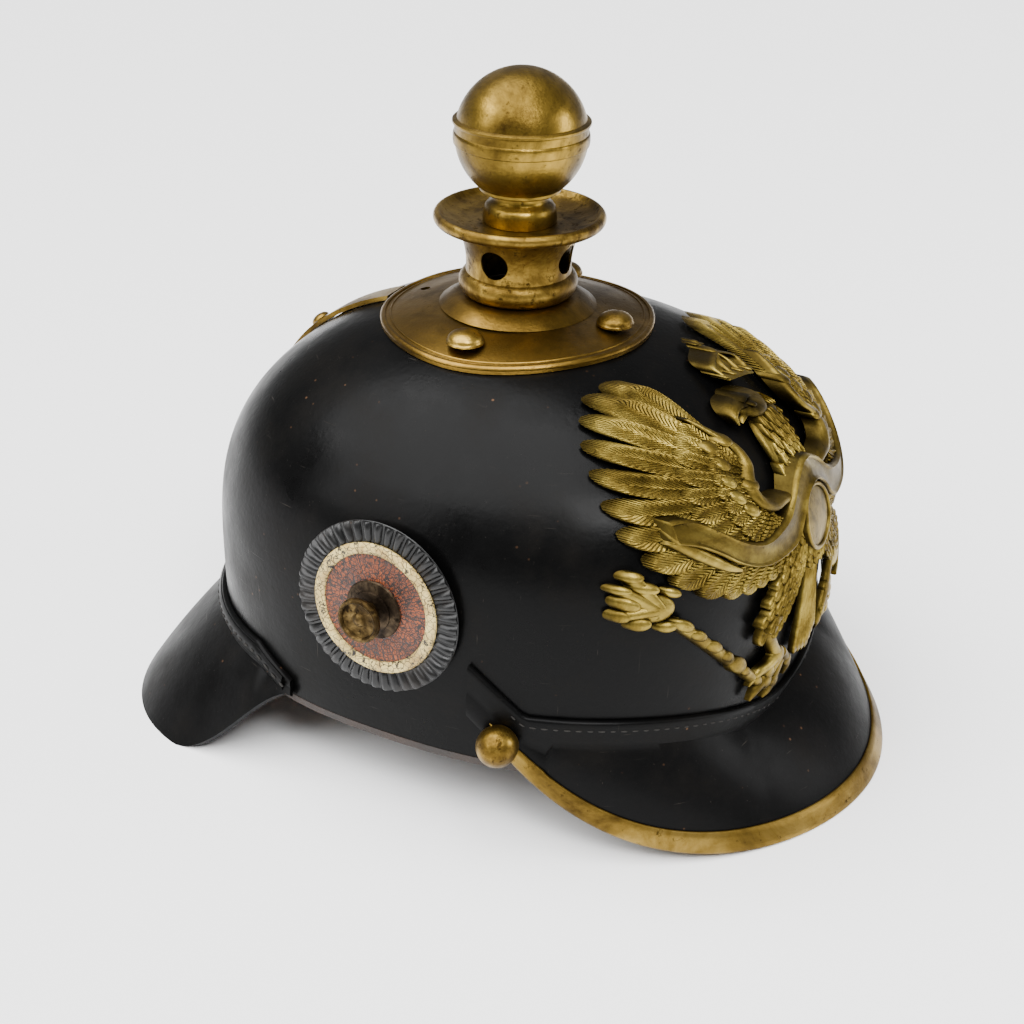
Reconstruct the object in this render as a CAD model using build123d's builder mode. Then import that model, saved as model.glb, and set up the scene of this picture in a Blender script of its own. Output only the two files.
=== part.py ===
"""Ball-topped leather dress helmet: dome, peak, neck guard, brass fittings and lining.

The helmet faces -Y, its wearer's right is -X, and it stands on z = 0 on the rims of its peak and neck
guard. The crown axis, which the vent collar and the ball share, is vertical through (0, crown_y).
"""

import os
from math import cos, radians, sin, sqrt

from build123d import *

# ---------------------------------------------------------------- driving dimensions, mm
crown_y = 8.4  # puts the middle of the helmet's length at y = 0
half_width = 95.9  # dome, crown axis to the widest point at the side
front_length = 110.0  # dome, crown axis to the forehead
rear_length = 100.4  # dome, crown axis to the nape
squareness = 2.46  # exponent of the plan outline: 2 is an ellipse
widest_z = 59.0
apex_z = 148.8
fullness = 3.1  # exponent of the side outline
tuck = 0.029  # how far the dome draws in 60 mm below its widest level
wall = 3.0  # dome leather
edge_z = 30.0  # lower edge of the dome
air = 0.2  # gap between laid-on layers

peak_centre_y = -45.9  # the peak's rim is half an ellipse about this point of the centre plane
peak_half_width = 93.5
peak_reach = 98.85
peak_side_z = 35.3  # rim height at the end studs
peak_leather = 2.2
peak_bow = 0.06  # bulge of the section, as a share of its length
guard_centre_y = 40.0
guard_half_width = 107.5
guard_reach = 88.0
guard_leather = 2.4
guard_bow = 0.03

trim_wall = 0.8
trim_leg = 8.0

plate_radius = 47.0
plate_stud_circle = 36.7
plate_stud_radius = 6.0
collar_neck_radius = 18.0
vent_hole_radius = 5.0
vent_hole_z = 167.5
dish_radius = 29.0
dish_top_z = 181.7
ball_radius = 22.0
ball_z = 207.0
seam_z = 211.0  # joint of the ball's two halves
rod_radius = 2.5

cockade_centre = (-95.6, -2.0, 79.0)  # before the crown_y shift, at the dome's surface
cockade_tilt = 4.0  # degrees that the cockade's axis rises outwards
cockade_radius = 29.5
post_radius = 3.5
post_head_radius = 7.5
post_reach = 12.5

end_stud_radius = 6.8
spine_half_width = 6.0
finger_count = 10

pin_bore_radius = 1.7  # for the shanks of the end studs and the rivets
stud_bore_radius = 1.8
bore_depth = 24.0  # long enough to go through every layer at the wall
blank_width = 300.0  # blocks that keep one band of the dome are larger than the dome itself
blank_length = 400.0

crown = Axis((0, crown_y, 0), (0, 0, 1))
crown_section = Plane(origin=(0, crown_y, 0), x_dir=(1, 0, 0), z_dir=(0, -1, 0))


# ---------------------------------------------------------------- the dome's form
def girth(z, grow):
    """Share of the full plan size that the dome has at height z, when grown by `grow`."""
    if z <= widest_z:
        return 1 - tuck * ((widest_z - z) / 60) ** 2
    climb = (z - widest_z) / (apex_z + grow - widest_z)
    return sqrt(1 - climb**fullness)


def plan_radius(angle, grow):
    """Plan radius of the dome at its widest level, angle in degrees from +X."""
    across = abs(cos(radians(angle))) / (half_width + grow)
    length = rear_length if sin(radians(angle)) > 0 else front_length
    along = abs(sin(radians(angle))) / (length + grow)
    return (across**squareness + along**squareness) ** (-1 / squareness)


def inside(x, y, z, grow):
    """Whether a point, measured from the crown axis, is inside the grown dome."""
    length = rear_length if y > 0 else front_length
    plan = (abs(x) / (half_width + grow)) ** squareness + (abs(y) / (length + grow)) ** squareness
    return plan ** (1 / squareness) < girth(z, grow)


def reach(centre_y, bearing, z, grow=0.0):
    """Distance from (0, centre_y) to the dome, level at z. Bearing 0 is -X, 90 is -Y, -90 is +Y."""
    near, far = 0.0, 200.0
    for _ in range(40):
        middle = (near + far) / 2
        x = -middle * cos(radians(bearing))
        y = centre_y - middle * sin(radians(bearing))
        if inside(x, y, z, grow):
            near = middle
        else:
            far = middle
    return near


def dome_height(x, y, grow=0.0):
    """Height of the grown dome above a point measured from the crown axis."""
    length = rear_length if y > 0 else front_length
    plan = (abs(x) / (half_width + grow)) ** squareness + (abs(y) / (length + grow)) ** squareness
    lift = (1 - plan ** (2 / squareness)) ** (1 / fullness)
    return widest_z + (apex_z + grow - widest_z) * lift


def dome_front(x, z, grow=0.0):
    """Depth (negative y from the crown axis) of the dome's front at x and height z."""
    across = (abs(x) / (half_width + grow)) ** squareness
    return -(front_length + grow) * (girth(z, grow) ** squareness - across) ** (1 / squareness)


def nape_plane(z):
    """Plane on the dome's rear centre line at height z, its normal square to the leather."""
    climb = (z - widest_z) / (apex_z - widest_z)
    fall = 0.5 * fullness * climb ** (fullness - 1) / (apex_z - widest_z) / girth(z, 0)
    normal = Vector(0, 1 / rear_length, fall).normalized()
    return Plane(origin=(0, crown_y + rear_length * girth(z, 0), z), x_dir=(1, 0, 0), z_dir=normal)


def dome(grow):
    """Solid dome grown outwards by `grow`, from below the edge up to the crown."""
    heights = [18, 38]
    for climb in (0, 6, 12, 20, 30, 42, 55, 68, 83):
        heights.append(widest_z + (apex_z + grow - widest_z) * sin(radians(climb)) ** (2 / fullness))
    with BuildPart() as form:
        for z in heights:
            with BuildSketch(Plane.XY.offset(z)):
                with BuildLine():
                    radii = [(a, girth(z, grow) * plan_radius(a, grow)) for a in range(0, 360, 15)]
                    Spline(
                        [(r * cos(radians(a)), crown_y + r * sin(radians(a))) for a, r in radii],
                        periodic=True,
                    )
                make_face()
        loft()
    return form.part


def bearing_plane(centre_y, bearing):
    """Vertical plane through (0, centre_y): local x runs level along the bearing, local y up."""
    outward = Vector(-cos(radians(bearing)), -sin(radians(bearing)), 0)
    return Plane(
        origin=(0, centre_y + crown_y, 0), x_dir=outward, z_dir=outward.cross(Vector(0, 0, 1))
    )


def ellipse_reach(bearing, across, along, power):
    """Radius of a superellipse and the share of its length reached on this bearing."""
    c = abs(cos(radians(bearing))) / across
    s = abs(sin(radians(bearing))) / along
    radius = (c**power + s**power) ** (-1 / power)
    return radius, radius * sin(radians(bearing)) / along


# ---------------------------------------------------------------- peak and neck guard sections
def peak_rim(bearing):
    """Level distance and height of the peak's rim."""
    radius, share = ellipse_reach(bearing, peak_half_width, peak_reach, 1.94)
    return radius, peak_side_z * max(0, 1 - share) ** 2.5


def peak_seam(bearing):
    """Height of the peak's upper edge on the dome."""
    side = min(bearing, 180 - bearing)
    return 50 - 17 * abs(sin(radians(side))) ** 3.4 + 1.5 * max(0, 4 - side)


def guard_rim(bearing):
    """Level distance and height of the neck guard's rim. Bearings run from 0 to -180."""
    radius, _ = ellipse_reach(bearing, guard_half_width, guard_reach, 3)
    side = min(-bearing, 180 + bearing)
    drop = min(1, max(0, (side + 3) / 24))
    flare = max(radius - 14 * (1 - drop), reach(guard_centre_y, bearing, edge_z) + 2.8)
    return flare, 31 * (1 - drop * drop * (3 - 2 * drop))


def guard_seam(bearing):
    """Height of the neck guard's upper edge on the dome."""
    side = min(-bearing, 180 + bearing)
    return 44.5 - 8 * max(0, 1 - (side + 3) / 10)


def bowed(rim, turn, bulge, share):
    """Point on the bowed outline from the rim (share 0) to the turn at the dome (share 1)."""
    chord = turn - rim
    outward = Vector(chord.Y, -chord.X)
    return rim + chord * share + outward * bulge * 4 * share * (1 - share)


def flare_outline(centre_y, bearing, top_z, rim, thick, bulge):
    """Outer and inner outlines, top to rim, of a leather piece that leaves the dome and flares.

    Each is the top and turn points on the dome, then points of the bowed line down to the rim.
    """
    rim_r, rim_z = rim
    turn_z = max(edge_z + 1, top_z - 9) if rim_z < edge_z - 6 else (top_z + rim_z) / 2
    top_r = reach(centre_y, bearing, top_z) + air
    turn_r = reach(centre_y, bearing, turn_z) + air
    rim_point = Vector(max(rim_r, reach(centre_y, bearing, rim_z) + air + thick), rim_z)
    outer = [Vector(top_r + thick * 0.5, top_z)]
    inner = [Vector(top_r, top_z)]
    slope = (Vector(turn_r, turn_z) - rim_point).normalized()
    inward = Vector(-slope.Y, slope.X) * thick
    inner_rim = Vector((rim_point + inward).X, max((rim_point + inward).Y, min(rim_z, 1.0)))
    for share in (1, 0.75, 0.5, 0.25, 0):
        outer.append(bowed(rim_point, Vector(turn_r + thick * 0.8, turn_z), bulge, share))
        inner.append(bowed(inner_rim, Vector(turn_r, turn_z), bulge, share))
    return outer, inner


def flare(centre_y, bearings, seam, rim, thick, bulge):
    """Leather piece lofted through one section on each bearing."""
    with BuildPart() as piece:
        for bearing in bearings:
            outer, inner = flare_outline(centre_y, bearing, seam(bearing), rim(bearing), thick, bulge)
            with BuildSketch(bearing_plane(centre_y, bearing)):
                with BuildLine():
                    Line(outer[0], outer[1])
                    Spline(outer[1:])
                    Line(outer[-1], inner[-1])
                    Spline(inner[1:])
                    Line(inner[1], inner[0])
                    Line(inner[0], outer[0])
                make_face()
        loft()
        split(bisect_by=Plane.XY, keep=Keep.TOP)
    return piece.part


def trim_directions(bearing):
    """Unit directions in a bearing plane at the peak's rim: up along the leather, and outwards."""
    outer, _ = flare_outline(
        peak_centre_y, bearing, peak_seam(bearing), peak_rim(bearing), peak_leather, peak_bow
    )
    up = (outer[-2] - outer[-1]).normalized()
    return up, Vector(up.Y, -up.X)


def peak_leather_rim(bearing):
    """Outer corner of the peak's leather, held inside the rim trim."""
    foot = Vector(*peak_rim(bearing))
    up, out = trim_directions(bearing)
    corner = foot + up * (trim_wall + 0.4) - out * (trim_wall + 0.3)
    return corner.X, corner.Y


os.makedirs("parts", exist_ok=True)

outer_form = dome(0)
inner_form = dome(-wall)

# ---------------------------------------------------------------- crown fittings' places
stud_places = [(-plate_stud_circle, 0), (0, -plate_stud_circle), (plate_stud_circle, 0)]
open_stud_place = (0, plate_stud_circle)  # its stud is lost, and the hole is left open
post_axes = []
for side in (-1, 1):
    x, y, z = cockade_centre
    outward = Vector(side * cos(radians(cockade_tilt)), 0, sin(radians(cockade_tilt)))
    post_axes.append(Plane(origin=(-side * x, y + crown_y, z), x_dir=(0, 1, 0), z_dir=outward))
end_stud_z = peak_side_z + 5.2
end_stud_x = peak_half_width - 1.0
end_stud_y = peak_centre_y + crown_y
end_stud_planes = []
for side in (-1, 1):
    stud_origin = (side * end_stud_x, end_stud_y, end_stud_z)
    end_stud_planes.append(Plane(origin=stud_origin, x_dir=(0, 1, 0), z_dir=(side, 0, 0)))
loop_places = [(-30.0, 104.0), (30.0, 104.0)]  # x, z of the emblem's two loops
slot_z = 62.0  # middle of the vent slot at the nape
slot_length = 16.0
slot_width = 4.0
rivet_heights = [97.0, 124.0]
loop_slot = (3.0, 7.0)

# ---------------------------------------------------------------- leather dome
with BuildPart() as shell:
    add(outer_form)
    add(inner_form, mode=Mode.SUBTRACT)
    split(bisect_by=Plane.XY.offset(edge_z), keep=Keep.TOP)
    with BuildSketch(Plane.XY.offset(apex_z - 20)):
        with Locations((0, crown_y)):
            Circle(15)
    extrude(amount=30, mode=Mode.SUBTRACT)
    with BuildSketch(Plane.XY.offset(apex_z - 25)):
        with Locations([(x, y + crown_y) for x, y in stud_places + [open_stud_place]]):
            Circle(stud_bore_radius)
    extrude(amount=40, mode=Mode.SUBTRACT)
    for axis_plane in post_axes:
        with BuildSketch(axis_plane.offset(-bore_depth / 2)):
            Circle(post_radius + 0.1)
        extrude(amount=bore_depth, mode=Mode.SUBTRACT)
    for axis_plane in end_stud_planes:
        with BuildSketch(axis_plane.offset(-15)):
            Circle(pin_bore_radius)
        extrude(amount=bore_depth, mode=Mode.SUBTRACT)
    with BuildSketch(Plane.XZ.offset(-crown_y + 80)):
        with Locations(loop_places):
            Rectangle(*loop_slot)
    extrude(amount=40, mode=Mode.SUBTRACT)
    with BuildSketch(Plane.XZ.offset(-crown_y - 80)):
        with Locations((0, slot_z)):
            SlotOverall(slot_length, slot_width, rotation=90)
    extrude(amount=-40, mode=Mode.SUBTRACT)
    for rivet_z in rivet_heights:
        with BuildSketch(nape_plane(rivet_z).offset(-bore_depth / 2)):
            Circle(pin_bore_radius)
        extrude(amount=bore_depth, mode=Mode.SUBTRACT)
shell.part.label = "shell"
export_step(shell.part, "parts/shell.step")

# ---------------------------------------------------------------- peak and neck guard
peak_bearings = [-7, -3, 1, 6, 12, 20, 30, 42, 54, 66, 78, 90]
peak_bearings += [180 - b for b in reversed(peak_bearings[:-1])]
peak_form = flare(
    peak_centre_y, peak_bearings, peak_seam, peak_leather_rim, peak_leather, peak_bow
)
with BuildPart() as peak:
    add(peak_form)
    for axis_plane in end_stud_planes:
        with BuildSketch(axis_plane.offset(-15)):
            Circle(pin_bore_radius)
        extrude(amount=bore_depth, mode=Mode.SUBTRACT)
peak.part.label = "front_peak"
export_step(peak.part, "parts/front_peak.step")

guard_bearings = [3, -2, -7, -13, -20, -28, -38, -50, -63, -76, -90]
guard_bearings += [-180 - b for b in reversed(guard_bearings[:-1])]
guard_form = flare(
    guard_centre_y, guard_bearings, guard_seam, guard_rim, guard_leather, guard_bow
)
with BuildPart() as guard:
    add(guard_form)
guard.part.label = "neck_guard"
export_step(guard.part, "parts/neck_guard.step")

# ---------------------------------------------------------------- brass rim trim and its two end studs
trim_bearings = [-2.5, 0, 3, 7, 13, 21, 31, 43, 55, 67, 79, 90]
trim_bearings += [180 - b for b in reversed(trim_bearings[:-1])]
with BuildPart() as trim:
    for bearing in trim_bearings:
        up, out = trim_directions(bearing)
        foot = Vector(*peak_rim(bearing))
        heel = foot - out * (peak_leather + 2 * trim_wall + 0.9)
        heel = Vector(heel.X, max(heel.Y, min(foot.Y, 0)))
        sole = (foot - heel).normalized()
        corners = [foot, foot + up * trim_leg, foot + up * trim_leg - out * trim_wall]
        corners += [foot + up * trim_wall - out * trim_wall, heel + up * trim_wall + sole * trim_wall]
        corners += [heel + up * 5 + sole * trim_wall, heel + up * 5, heel]
        with BuildSketch(bearing_plane(peak_centre_y, bearing)):
            with BuildLine():
                Polyline([(c.X, c.Y) for c in corners], close=True)
            make_face()
    loft()
    split(bisect_by=Plane.XY, keep=Keep.TOP)
    add(peak_form, mode=Mode.SUBTRACT)
    add(dome(air), mode=Mode.SUBTRACT)
    for axis_plane in end_stud_planes:
        with BuildSketch(axis_plane.offset(-15)):
            Circle(pin_bore_radius)
        extrude(amount=bore_depth, mode=Mode.SUBTRACT)
trim.part.label = "peak_trim"
export_step(trim.part, "parts/peak_trim.step")


def turned(profile, plane=crown_section, axis=crown):
    """Solid turned from a closed (radius, height) outline about an axis."""
    with BuildPart() as body:
        with BuildSketch(plane):
            with BuildLine():
                Polyline(profile, close=True)
            make_face()
        revolve(axis=axis)
    return body.part


def turned_on(post_plane, profile):
    """Solid turned about a plane's normal: the outline is (radius, distance along the normal)."""
    section = Plane(origin=post_plane.origin, x_dir=post_plane.x_dir, z_dir=-post_plane.y_dir)
    return turned(profile, section, Axis(post_plane.origin, post_plane.z_dir))


def domed_head(radius, height, base, shank, depth):
    """Outline of a domed rivet head on a shank that goes down to -depth."""
    steps = [(radius * cos(radians(a)), base + height * sin(radians(a))) for a in range(0, 90, 15)]
    return [(0, -depth), (shank, -depth), (shank, base)] + steps + [(0, base + height)]


ball_out = 4.4  # middle of the end stud's ball, outwards from its plane
stud_outline = [(0, -8.5), (1.6, -8.5), (1.6, 2.3)]
for angle in range(-18, 90, 12):
    rise = ball_out + end_stud_radius * sin(radians(angle))
    stud_outline.append((end_stud_radius * cos(radians(angle)), rise))
stud_outline.append((0, ball_out + end_stud_radius))
with BuildPart() as end_studs:
    for axis_plane in end_stud_planes:
        add(turned_on(axis_plane, stud_outline))
end_studs.part.label = "peak_end_studs"
export_step(end_studs.part, "parts/peak_end_studs.step")

with BuildPart() as end_nuts:
    for axis_plane in end_stud_planes:
        add(turned_on(axis_plane, [(1.65, -8.3), (4, -8.3), (4, -6.4), (1.65, -6.4)]))
end_nuts.part.label = "end_stud_nuts"
export_step(end_nuts.part, "parts/end_stud_nuts.step")

# ---------------------------------------------------------------- base plate on the crown
plate_top = 1.7  # its upper face stands this far off the leather
plate_bore_radius = 15.5
with BuildPart() as plate:
    add(dome(plate_top))
    add(dome(0.3), mode=Mode.SUBTRACT)
    with BuildSketch(Plane.XY.offset(110)):
        with Locations((0, crown_y)):
            Circle(plate_radius)
            Circle(plate_bore_radius, mode=Mode.SUBTRACT)
    extrude(amount=60, mode=Mode.INTERSECT)
    foot_z = dome_height(0, 0, plate_top)
    foot_ring = [(plate_bore_radius, foot_z - 0.6), (27, foot_z - 1.6), (23, foot_z + 1.0)]
    foot_ring += [(20.5, foot_z + 2.2), (plate_bore_radius, foot_z + 2.2)]
    add(turned(foot_ring))
    with BuildSketch(Plane.XY.offset(apex_z - 25)):
        with Locations([(x, y + crown_y) for x, y in stud_places + [open_stud_place]]):
            Circle(stud_bore_radius)
    extrude(amount=40, mode=Mode.SUBTRACT)
plate.part.label = "base_plate"
export_step(plate.part, "parts/base_plate.step")

# ---------------------------------------------------------------- plate studs, legs spread inside
with BuildPart() as plate_studs:
    for x, y in stud_places:
        seat = dome_height(x, y, plate_top)
        place = Plane(origin=(x, y + crown_y, seat), x_dir=(1, 0, 0), z_dir=(0, 0, 1))
        add(turned_on(place, domed_head(plate_stud_radius, 3.4, 2.0, 1.6, 9.5)))
plate_studs.part.label = "plate_studs"
export_step(plate_studs.part, "parts/plate_studs.step")

with BuildPart() as stud_washers:
    for x, y in stud_places:
        seat = dome_height(x, y, -wall)
        with BuildSketch(Plane.XY.offset(seat - 3.4)):
            with Locations((x, y + crown_y)):
                Rectangle(12, 12)
                Circle(1.65, mode=Mode.SUBTRACT)
        extrude(amount=1.6)
stud_washers.part.label = "stud_washers"
export_step(stud_washers.part, "parts/stud_washers.step")

# ---------------------------------------------------------------- vent collar, dish and ball
bead_z = foot_z + 2.25
with BuildPart() as collar:
    with BuildSketch(crown_section):
        with BuildLine():
            ThreePointArc((17.2, bead_z), (20.3, bead_z + 4.4), (collar_neck_radius, bead_z + 8.2))
            Spline((collar_neck_radius, bead_z + 8.2), (18.2, vent_hole_z), (21.2, 176.6))
            Polyline((21.2, 176.6), (20.2, 176.6), (17.2, vent_hole_z), (16.8, bead_z), (17.2, bead_z))
        make_face()
    revolve(axis=crown)
    with BuildSketch(crown_section):
        with Locations((0, vent_hole_z)):
            Circle(vent_hole_radius)
    extrude(amount=30, both=True, mode=Mode.SUBTRACT)
    with BuildSketch(Plane(origin=(0, crown_y, 0), x_dir=(0, 1, 0), z_dir=(1, 0, 0))):
        with Locations((0, vent_hole_z)):
            Circle(vent_hole_radius)
    extrude(amount=30, both=True, mode=Mode.SUBTRACT)
collar.part.label = "vent_collar"
export_step(collar.part, "parts/vent_collar.step")

rim = dish_top_z
dish_outline = [(4, 176.7), (21.6, 176.7), (24, rim - 4.2), (dish_radius - 0.8, rim - 4.2)]
dish_outline += [(dish_radius, rim - 3.4), (dish_radius, rim - 0.8), (dish_radius - 0.8, rim)]
dish_outline += [(27.2, rim), (26, rim - 1.6)]
dish_outline += [(23, rim - 2.4), (19, rim - 3.6), (4, rim - 3.9)]
dish = turned(dish_outline)
dish.label = "collar_dish"
export_step(dish, "parts/collar_dish.step")

base = rim - 3.55
ball_bore = 20.6  # hollow inside the ball
band_radius = 22.3
seam_radius = 22.7
stem_outline = [(3, base), (12.4, base), (12.2, base + 3.2), (12.0, base + 5.2), (11.0, base + 6.2)]
stem_outline += [(9.2, base + 8.2), (9.2, 187.5), (10.6, 188.2), (13.3, 188.8), (13.4, 190.0)]
for angle in range(-50, -9, 8):
    rise = ball_z + ball_radius * sin(radians(angle))
    stem_outline.append((ball_radius * cos(radians(angle)), rise))
stem_outline += [(band_radius, 204.4), (band_radius, 208.2), (ball_radius, 208.6)]
stem_outline += [(ball_radius, seam_z - 0.1), (ball_bore, seam_z - 0.1)]
stem_outline += [(ball_bore, ball_z), (14, 193), (9, 191), (3, 191)]
lower = turned(stem_outline)
lower.label = "ball_lower"
export_step(lower, "parts/ball_lower.step")

cap_outline = [(ball_bore, seam_z), (seam_radius, seam_z), (seam_radius, seam_z + 1.4)]
for angle in range(16, 90, 8):
    rise = ball_z + ball_radius * sin(radians(angle))
    cap_outline.append((ball_radius * cos(radians(angle)), rise))
cap_outline += [(0, ball_z + ball_radius), (0, ball_z + ball_radius - 1.2)]
for angle in range(80, 15, -8):
    rise = ball_z + (ball_bore + 0.2) * sin(radians(angle))
    cap_outline.append((ball_bore * cos(radians(angle)), rise))
cap = turned(cap_outline)
cap.label = "ball_cap"
export_step(cap, "parts/ball_cap.step")

rod_top = ball_z + ball_radius - 1.4
rod_outline = [(0, 168), (rod_radius, 168), (rod_radius, rod_top - 14)]
rod_outline += [(4.5, rod_top - 14), (4.5, rod_top - 10), (0, rod_top - 10)]
rod = turned(rod_outline)
rod.label = "finial_rod"
export_step(rod, "parts/finial_rod.step")

nut = turned([(rod_radius + 0.05, 172.6), (5, 172.6), (5, 176.6), (rod_radius + 0.05, 176.6)])
nut.label = "finial_nut"
export_step(nut, "parts/finial_nut.step")

# ---------------------------------------------------------------- cockades on their side posts
leather_back = 0.9  # the pleated disc's back stands this far off the dome's tangent plane
cockade_bore = post_radius + 0.05
for side_name, axis_plane in zip(("right", "left"), post_axes):
    layers = {
        "pleats": [
            (cockade_bore, leather_back),
            (cockade_radius - 6, leather_back),
            (cockade_radius, leather_back - 0.3),
            (cockade_radius, leather_back + 0.5),
            (cockade_radius - 6, leather_back + 1.1),
            (cockade_bore, leather_back + 1.1),
        ],
        "ring": [
            (18.7, leather_back + 1.15),
            (22.4, leather_back + 1.15),
            (22.2, leather_back + 1.9),
            (20.5, leather_back + 2.5),
            (18.7, leather_back + 2.1),
        ],
        "centre": [
            (cockade_bore, leather_back + 1.15),
            (18.6, leather_back + 1.15),
            (18.6, leather_back + 1.6),
            (cockade_bore, leather_back + 2.0),
        ],
        "washer": [
            (cockade_bore, leather_back + 2.05),
            (9.8, leather_back + 2.05),
            (9.8, leather_back + 3.0),
            (7.0, leather_back + 3.6),
            (6.6, leather_back + 4.6),
            (cockade_bore, leather_back + 4.6),
        ],
    }
    for layer_name, outline in layers.items():
        layer = turned_on(axis_plane, outline)
        layer.label = f"cockade_{layer_name}_{side_name}"
        export_step(layer, f"parts/cockade_{layer_name}_{side_name}.step")

post_outline = [(0, -9.5), (post_radius, -9.5), (post_radius, 0.2), (5.6, 0.2), (5.6, 0.7)]
post_outline += [(post_radius, 0.7), (post_radius, post_reach - 3.4), (5.2, post_reach - 3.0)]
post_outline += [(post_head_radius, post_reach - 1.8)]
post_outline += [(post_head_radius, post_reach), (6.3, post_reach + 0.5), (5.6, post_reach - 0.8)]
post_outline += [(2.2, post_reach - 0.8), (1.4, post_reach), (0, post_reach + 0.2)]
with BuildPart() as side_posts:
    for axis_plane in post_axes:
        add(turned_on(axis_plane, post_outline))
side_posts.part.label = "side_posts"
export_step(side_posts.part, "parts/side_posts.step")

with BuildPart() as post_nuts:
    for axis_plane in post_axes:
        with BuildSketch(axis_plane.offset(-7.0)):
            RegularPolygon(7.5, 6)
            Circle(post_radius + 0.02, mode=Mode.SUBTRACT)
        extrude(amount=3.2)
post_nuts.part.label = "post_nuts"
export_step(post_nuts.part, "parts/post_nuts.step")

# ---------------------------------------------------------------- pressed emblem on the front
# Every outline is in x and z, seen from the front.
wing = [(-12, 91), (-21, 87), (-34, 86.5), (-47, 87), (-61, 90.5), (-67, 99), (-70.5, 111), (-68, 116)]
wing += [(-66, 121), (-64.5, 125), (-56, 131), (-52.5, 135), (-44, 137), (-37, 141), (-29, 142)]
wing += [(-34, 136.5), (-30.5, 131), (-25.5, 127), (-25.5, 123), (-31, 120), (-33, 116), (-32, 111)]
wing += [(-22, 111), (-12, 109)]
leg = [(-8, 92), (-29, 89.5), (-37.5, 82), (-36, 71.5), (-31, 65), (-20, 57), (-28, 53), (-42, 52)]
leg += [(-40, 43), (-22, 40), (-12, 46), (-12, 60), (-8, 75)]
trunk = [(-15, 113), (-15, 88), (-9, 75), (-9, 52), (-5, 46), (5, 46), (9, 52), (9, 75), (15, 88)]
trunk += [(15, 113)]
head = [(-15, 112), (-14, 118), (-6, 123), (-5, 128), (-12, 131), (-8, 134), (2, 136), (2, 139), (9, 141)]
head += [(18, 141.5), (20, 138.5), (15, 135), (13, 127), (10, 123), (8, 119), (15, 112)]
staff = [(-35, 47), (-66, 87), (-76, 82), (-79, 92), (-76, 98), (-71, 105), (-68, 95), (-29, 48)]
globe = [(35, 47), (48, 60), (54, 68), (48, 74), (40, 70), (29, 48)]
emblem_back = 1.5  # the emblem's back stands this far off the leather
emblem_sheet = 1.0
with BuildPart() as emblem:
    with BuildSketch(Plane.XZ.offset(-crown_y)):
        for outline in (wing, leg, trunk, head, staff, globe):
            with BuildLine():
                Polyline(outline, close=True)
            make_face()
        for outline in (wing, leg):
            with BuildLine():
                Polyline([(-x, z) for x, z in outline], close=True)
            make_face()
    extrude(amount=140)
    add(dome(emblem_back + emblem_sheet), mode=Mode.INTERSECT)
    add(dome(emblem_back), mode=Mode.SUBTRACT)
emblem.part.label = "front_emblem"
export_step(emblem.part, "parts/front_emblem.step")

loop_depth = 13.0
loop_sheet = 1.6
pin_inset = 3.0  # from the loop's inner end to its pin
pin_length = 14.0
pin_radius = 1.4
loop_starts = [crown_y + dome_front(x, z, emblem_back) + 1.4 for x, z in loop_places]
with BuildPart() as loops:
    for (x, z), face_y in zip(loop_places, loop_starts):
        with BuildSketch(Plane(origin=(x - loop_sheet / 2, face_y, z), x_dir=(0, 1, 0), z_dir=(1, 0, 0))):
            with Locations((loop_depth / 2, 0)):
                Rectangle(loop_depth, 5)
            with Locations((loop_depth - pin_inset, 0)):
                Circle(pin_radius + 0.1, mode=Mode.SUBTRACT)
        extrude(amount=loop_sheet)
loops.part.label = "emblem_loops"
export_step(loops.part, "parts/emblem_loops.step")

with BuildPart() as loop_pins:
    for (x, z), face_y in zip(loop_places, loop_starts):
        pin_y = face_y + loop_depth - pin_inset
        with BuildSketch(Plane(origin=(x - pin_length / 2, pin_y, z), x_dir=(0, 1, 0), z_dir=(1, 0, 0))):
            Circle(pin_radius)
        extrude(amount=pin_length)
loop_pins.part.label = "loop_pins"
export_step(loop_pins.part, "parts/loop_pins.step")

# ---------------------------------------------------------------- spine at the nape, with its vent
rail_z = (50.0, 92.0)
rail_height = rail_z[1] - rail_z[0]
spine_foot_z = 46.5
back_y = rear_length + crown_y
with BuildPart() as spine:
    add(dome(1.9))
    add(dome(0.4), mode=Mode.SUBTRACT)
    with Locations((0, crown_y + plate_radius + 1.8, spine_foot_z)):
        Box(2 * spine_half_width, 80, 100, align=(Align.CENTER, Align.MIN, Align.MIN), mode=Mode.INTERSECT)
    for side in (-1, 1):
        with Locations((side * spine_half_width, back_y + 0.5, sum(rail_z) / 2)):
            Box(1.0, 6.2, rail_height)
        with Locations((side * (spine_half_width - 0.45), back_y + 3.25, sum(rail_z) / 2)):
            Box(1.9, 0.7, rail_height)
    add(dome(0.4), mode=Mode.SUBTRACT)
    with BuildSketch(Plane.XZ.offset(-crown_y - 80)):
        with Locations((0, slot_z)):
            SlotOverall(slot_length, slot_width, rotation=90)
    extrude(amount=-40, mode=Mode.SUBTRACT)
    for rivet_z in rivet_heights:
        with BuildSketch(nape_plane(rivet_z).offset(-bore_depth / 2)):
            Circle(pin_bore_radius)
        extrude(amount=bore_depth, mode=Mode.SUBTRACT)
spine.part.label = "rear_spine"
export_step(spine.part, "parts/rear_spine.step")

with BuildPart() as spine_rivets:
    for rivet_z in rivet_heights:
        add(turned_on(nape_plane(rivet_z), domed_head(3.6, 2.0, 2.4, 1.6, 6)))
spine_rivets.part.label = "spine_rivets"
export_step(spine_rivets.part, "parts/spine_rivets.step")

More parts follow.
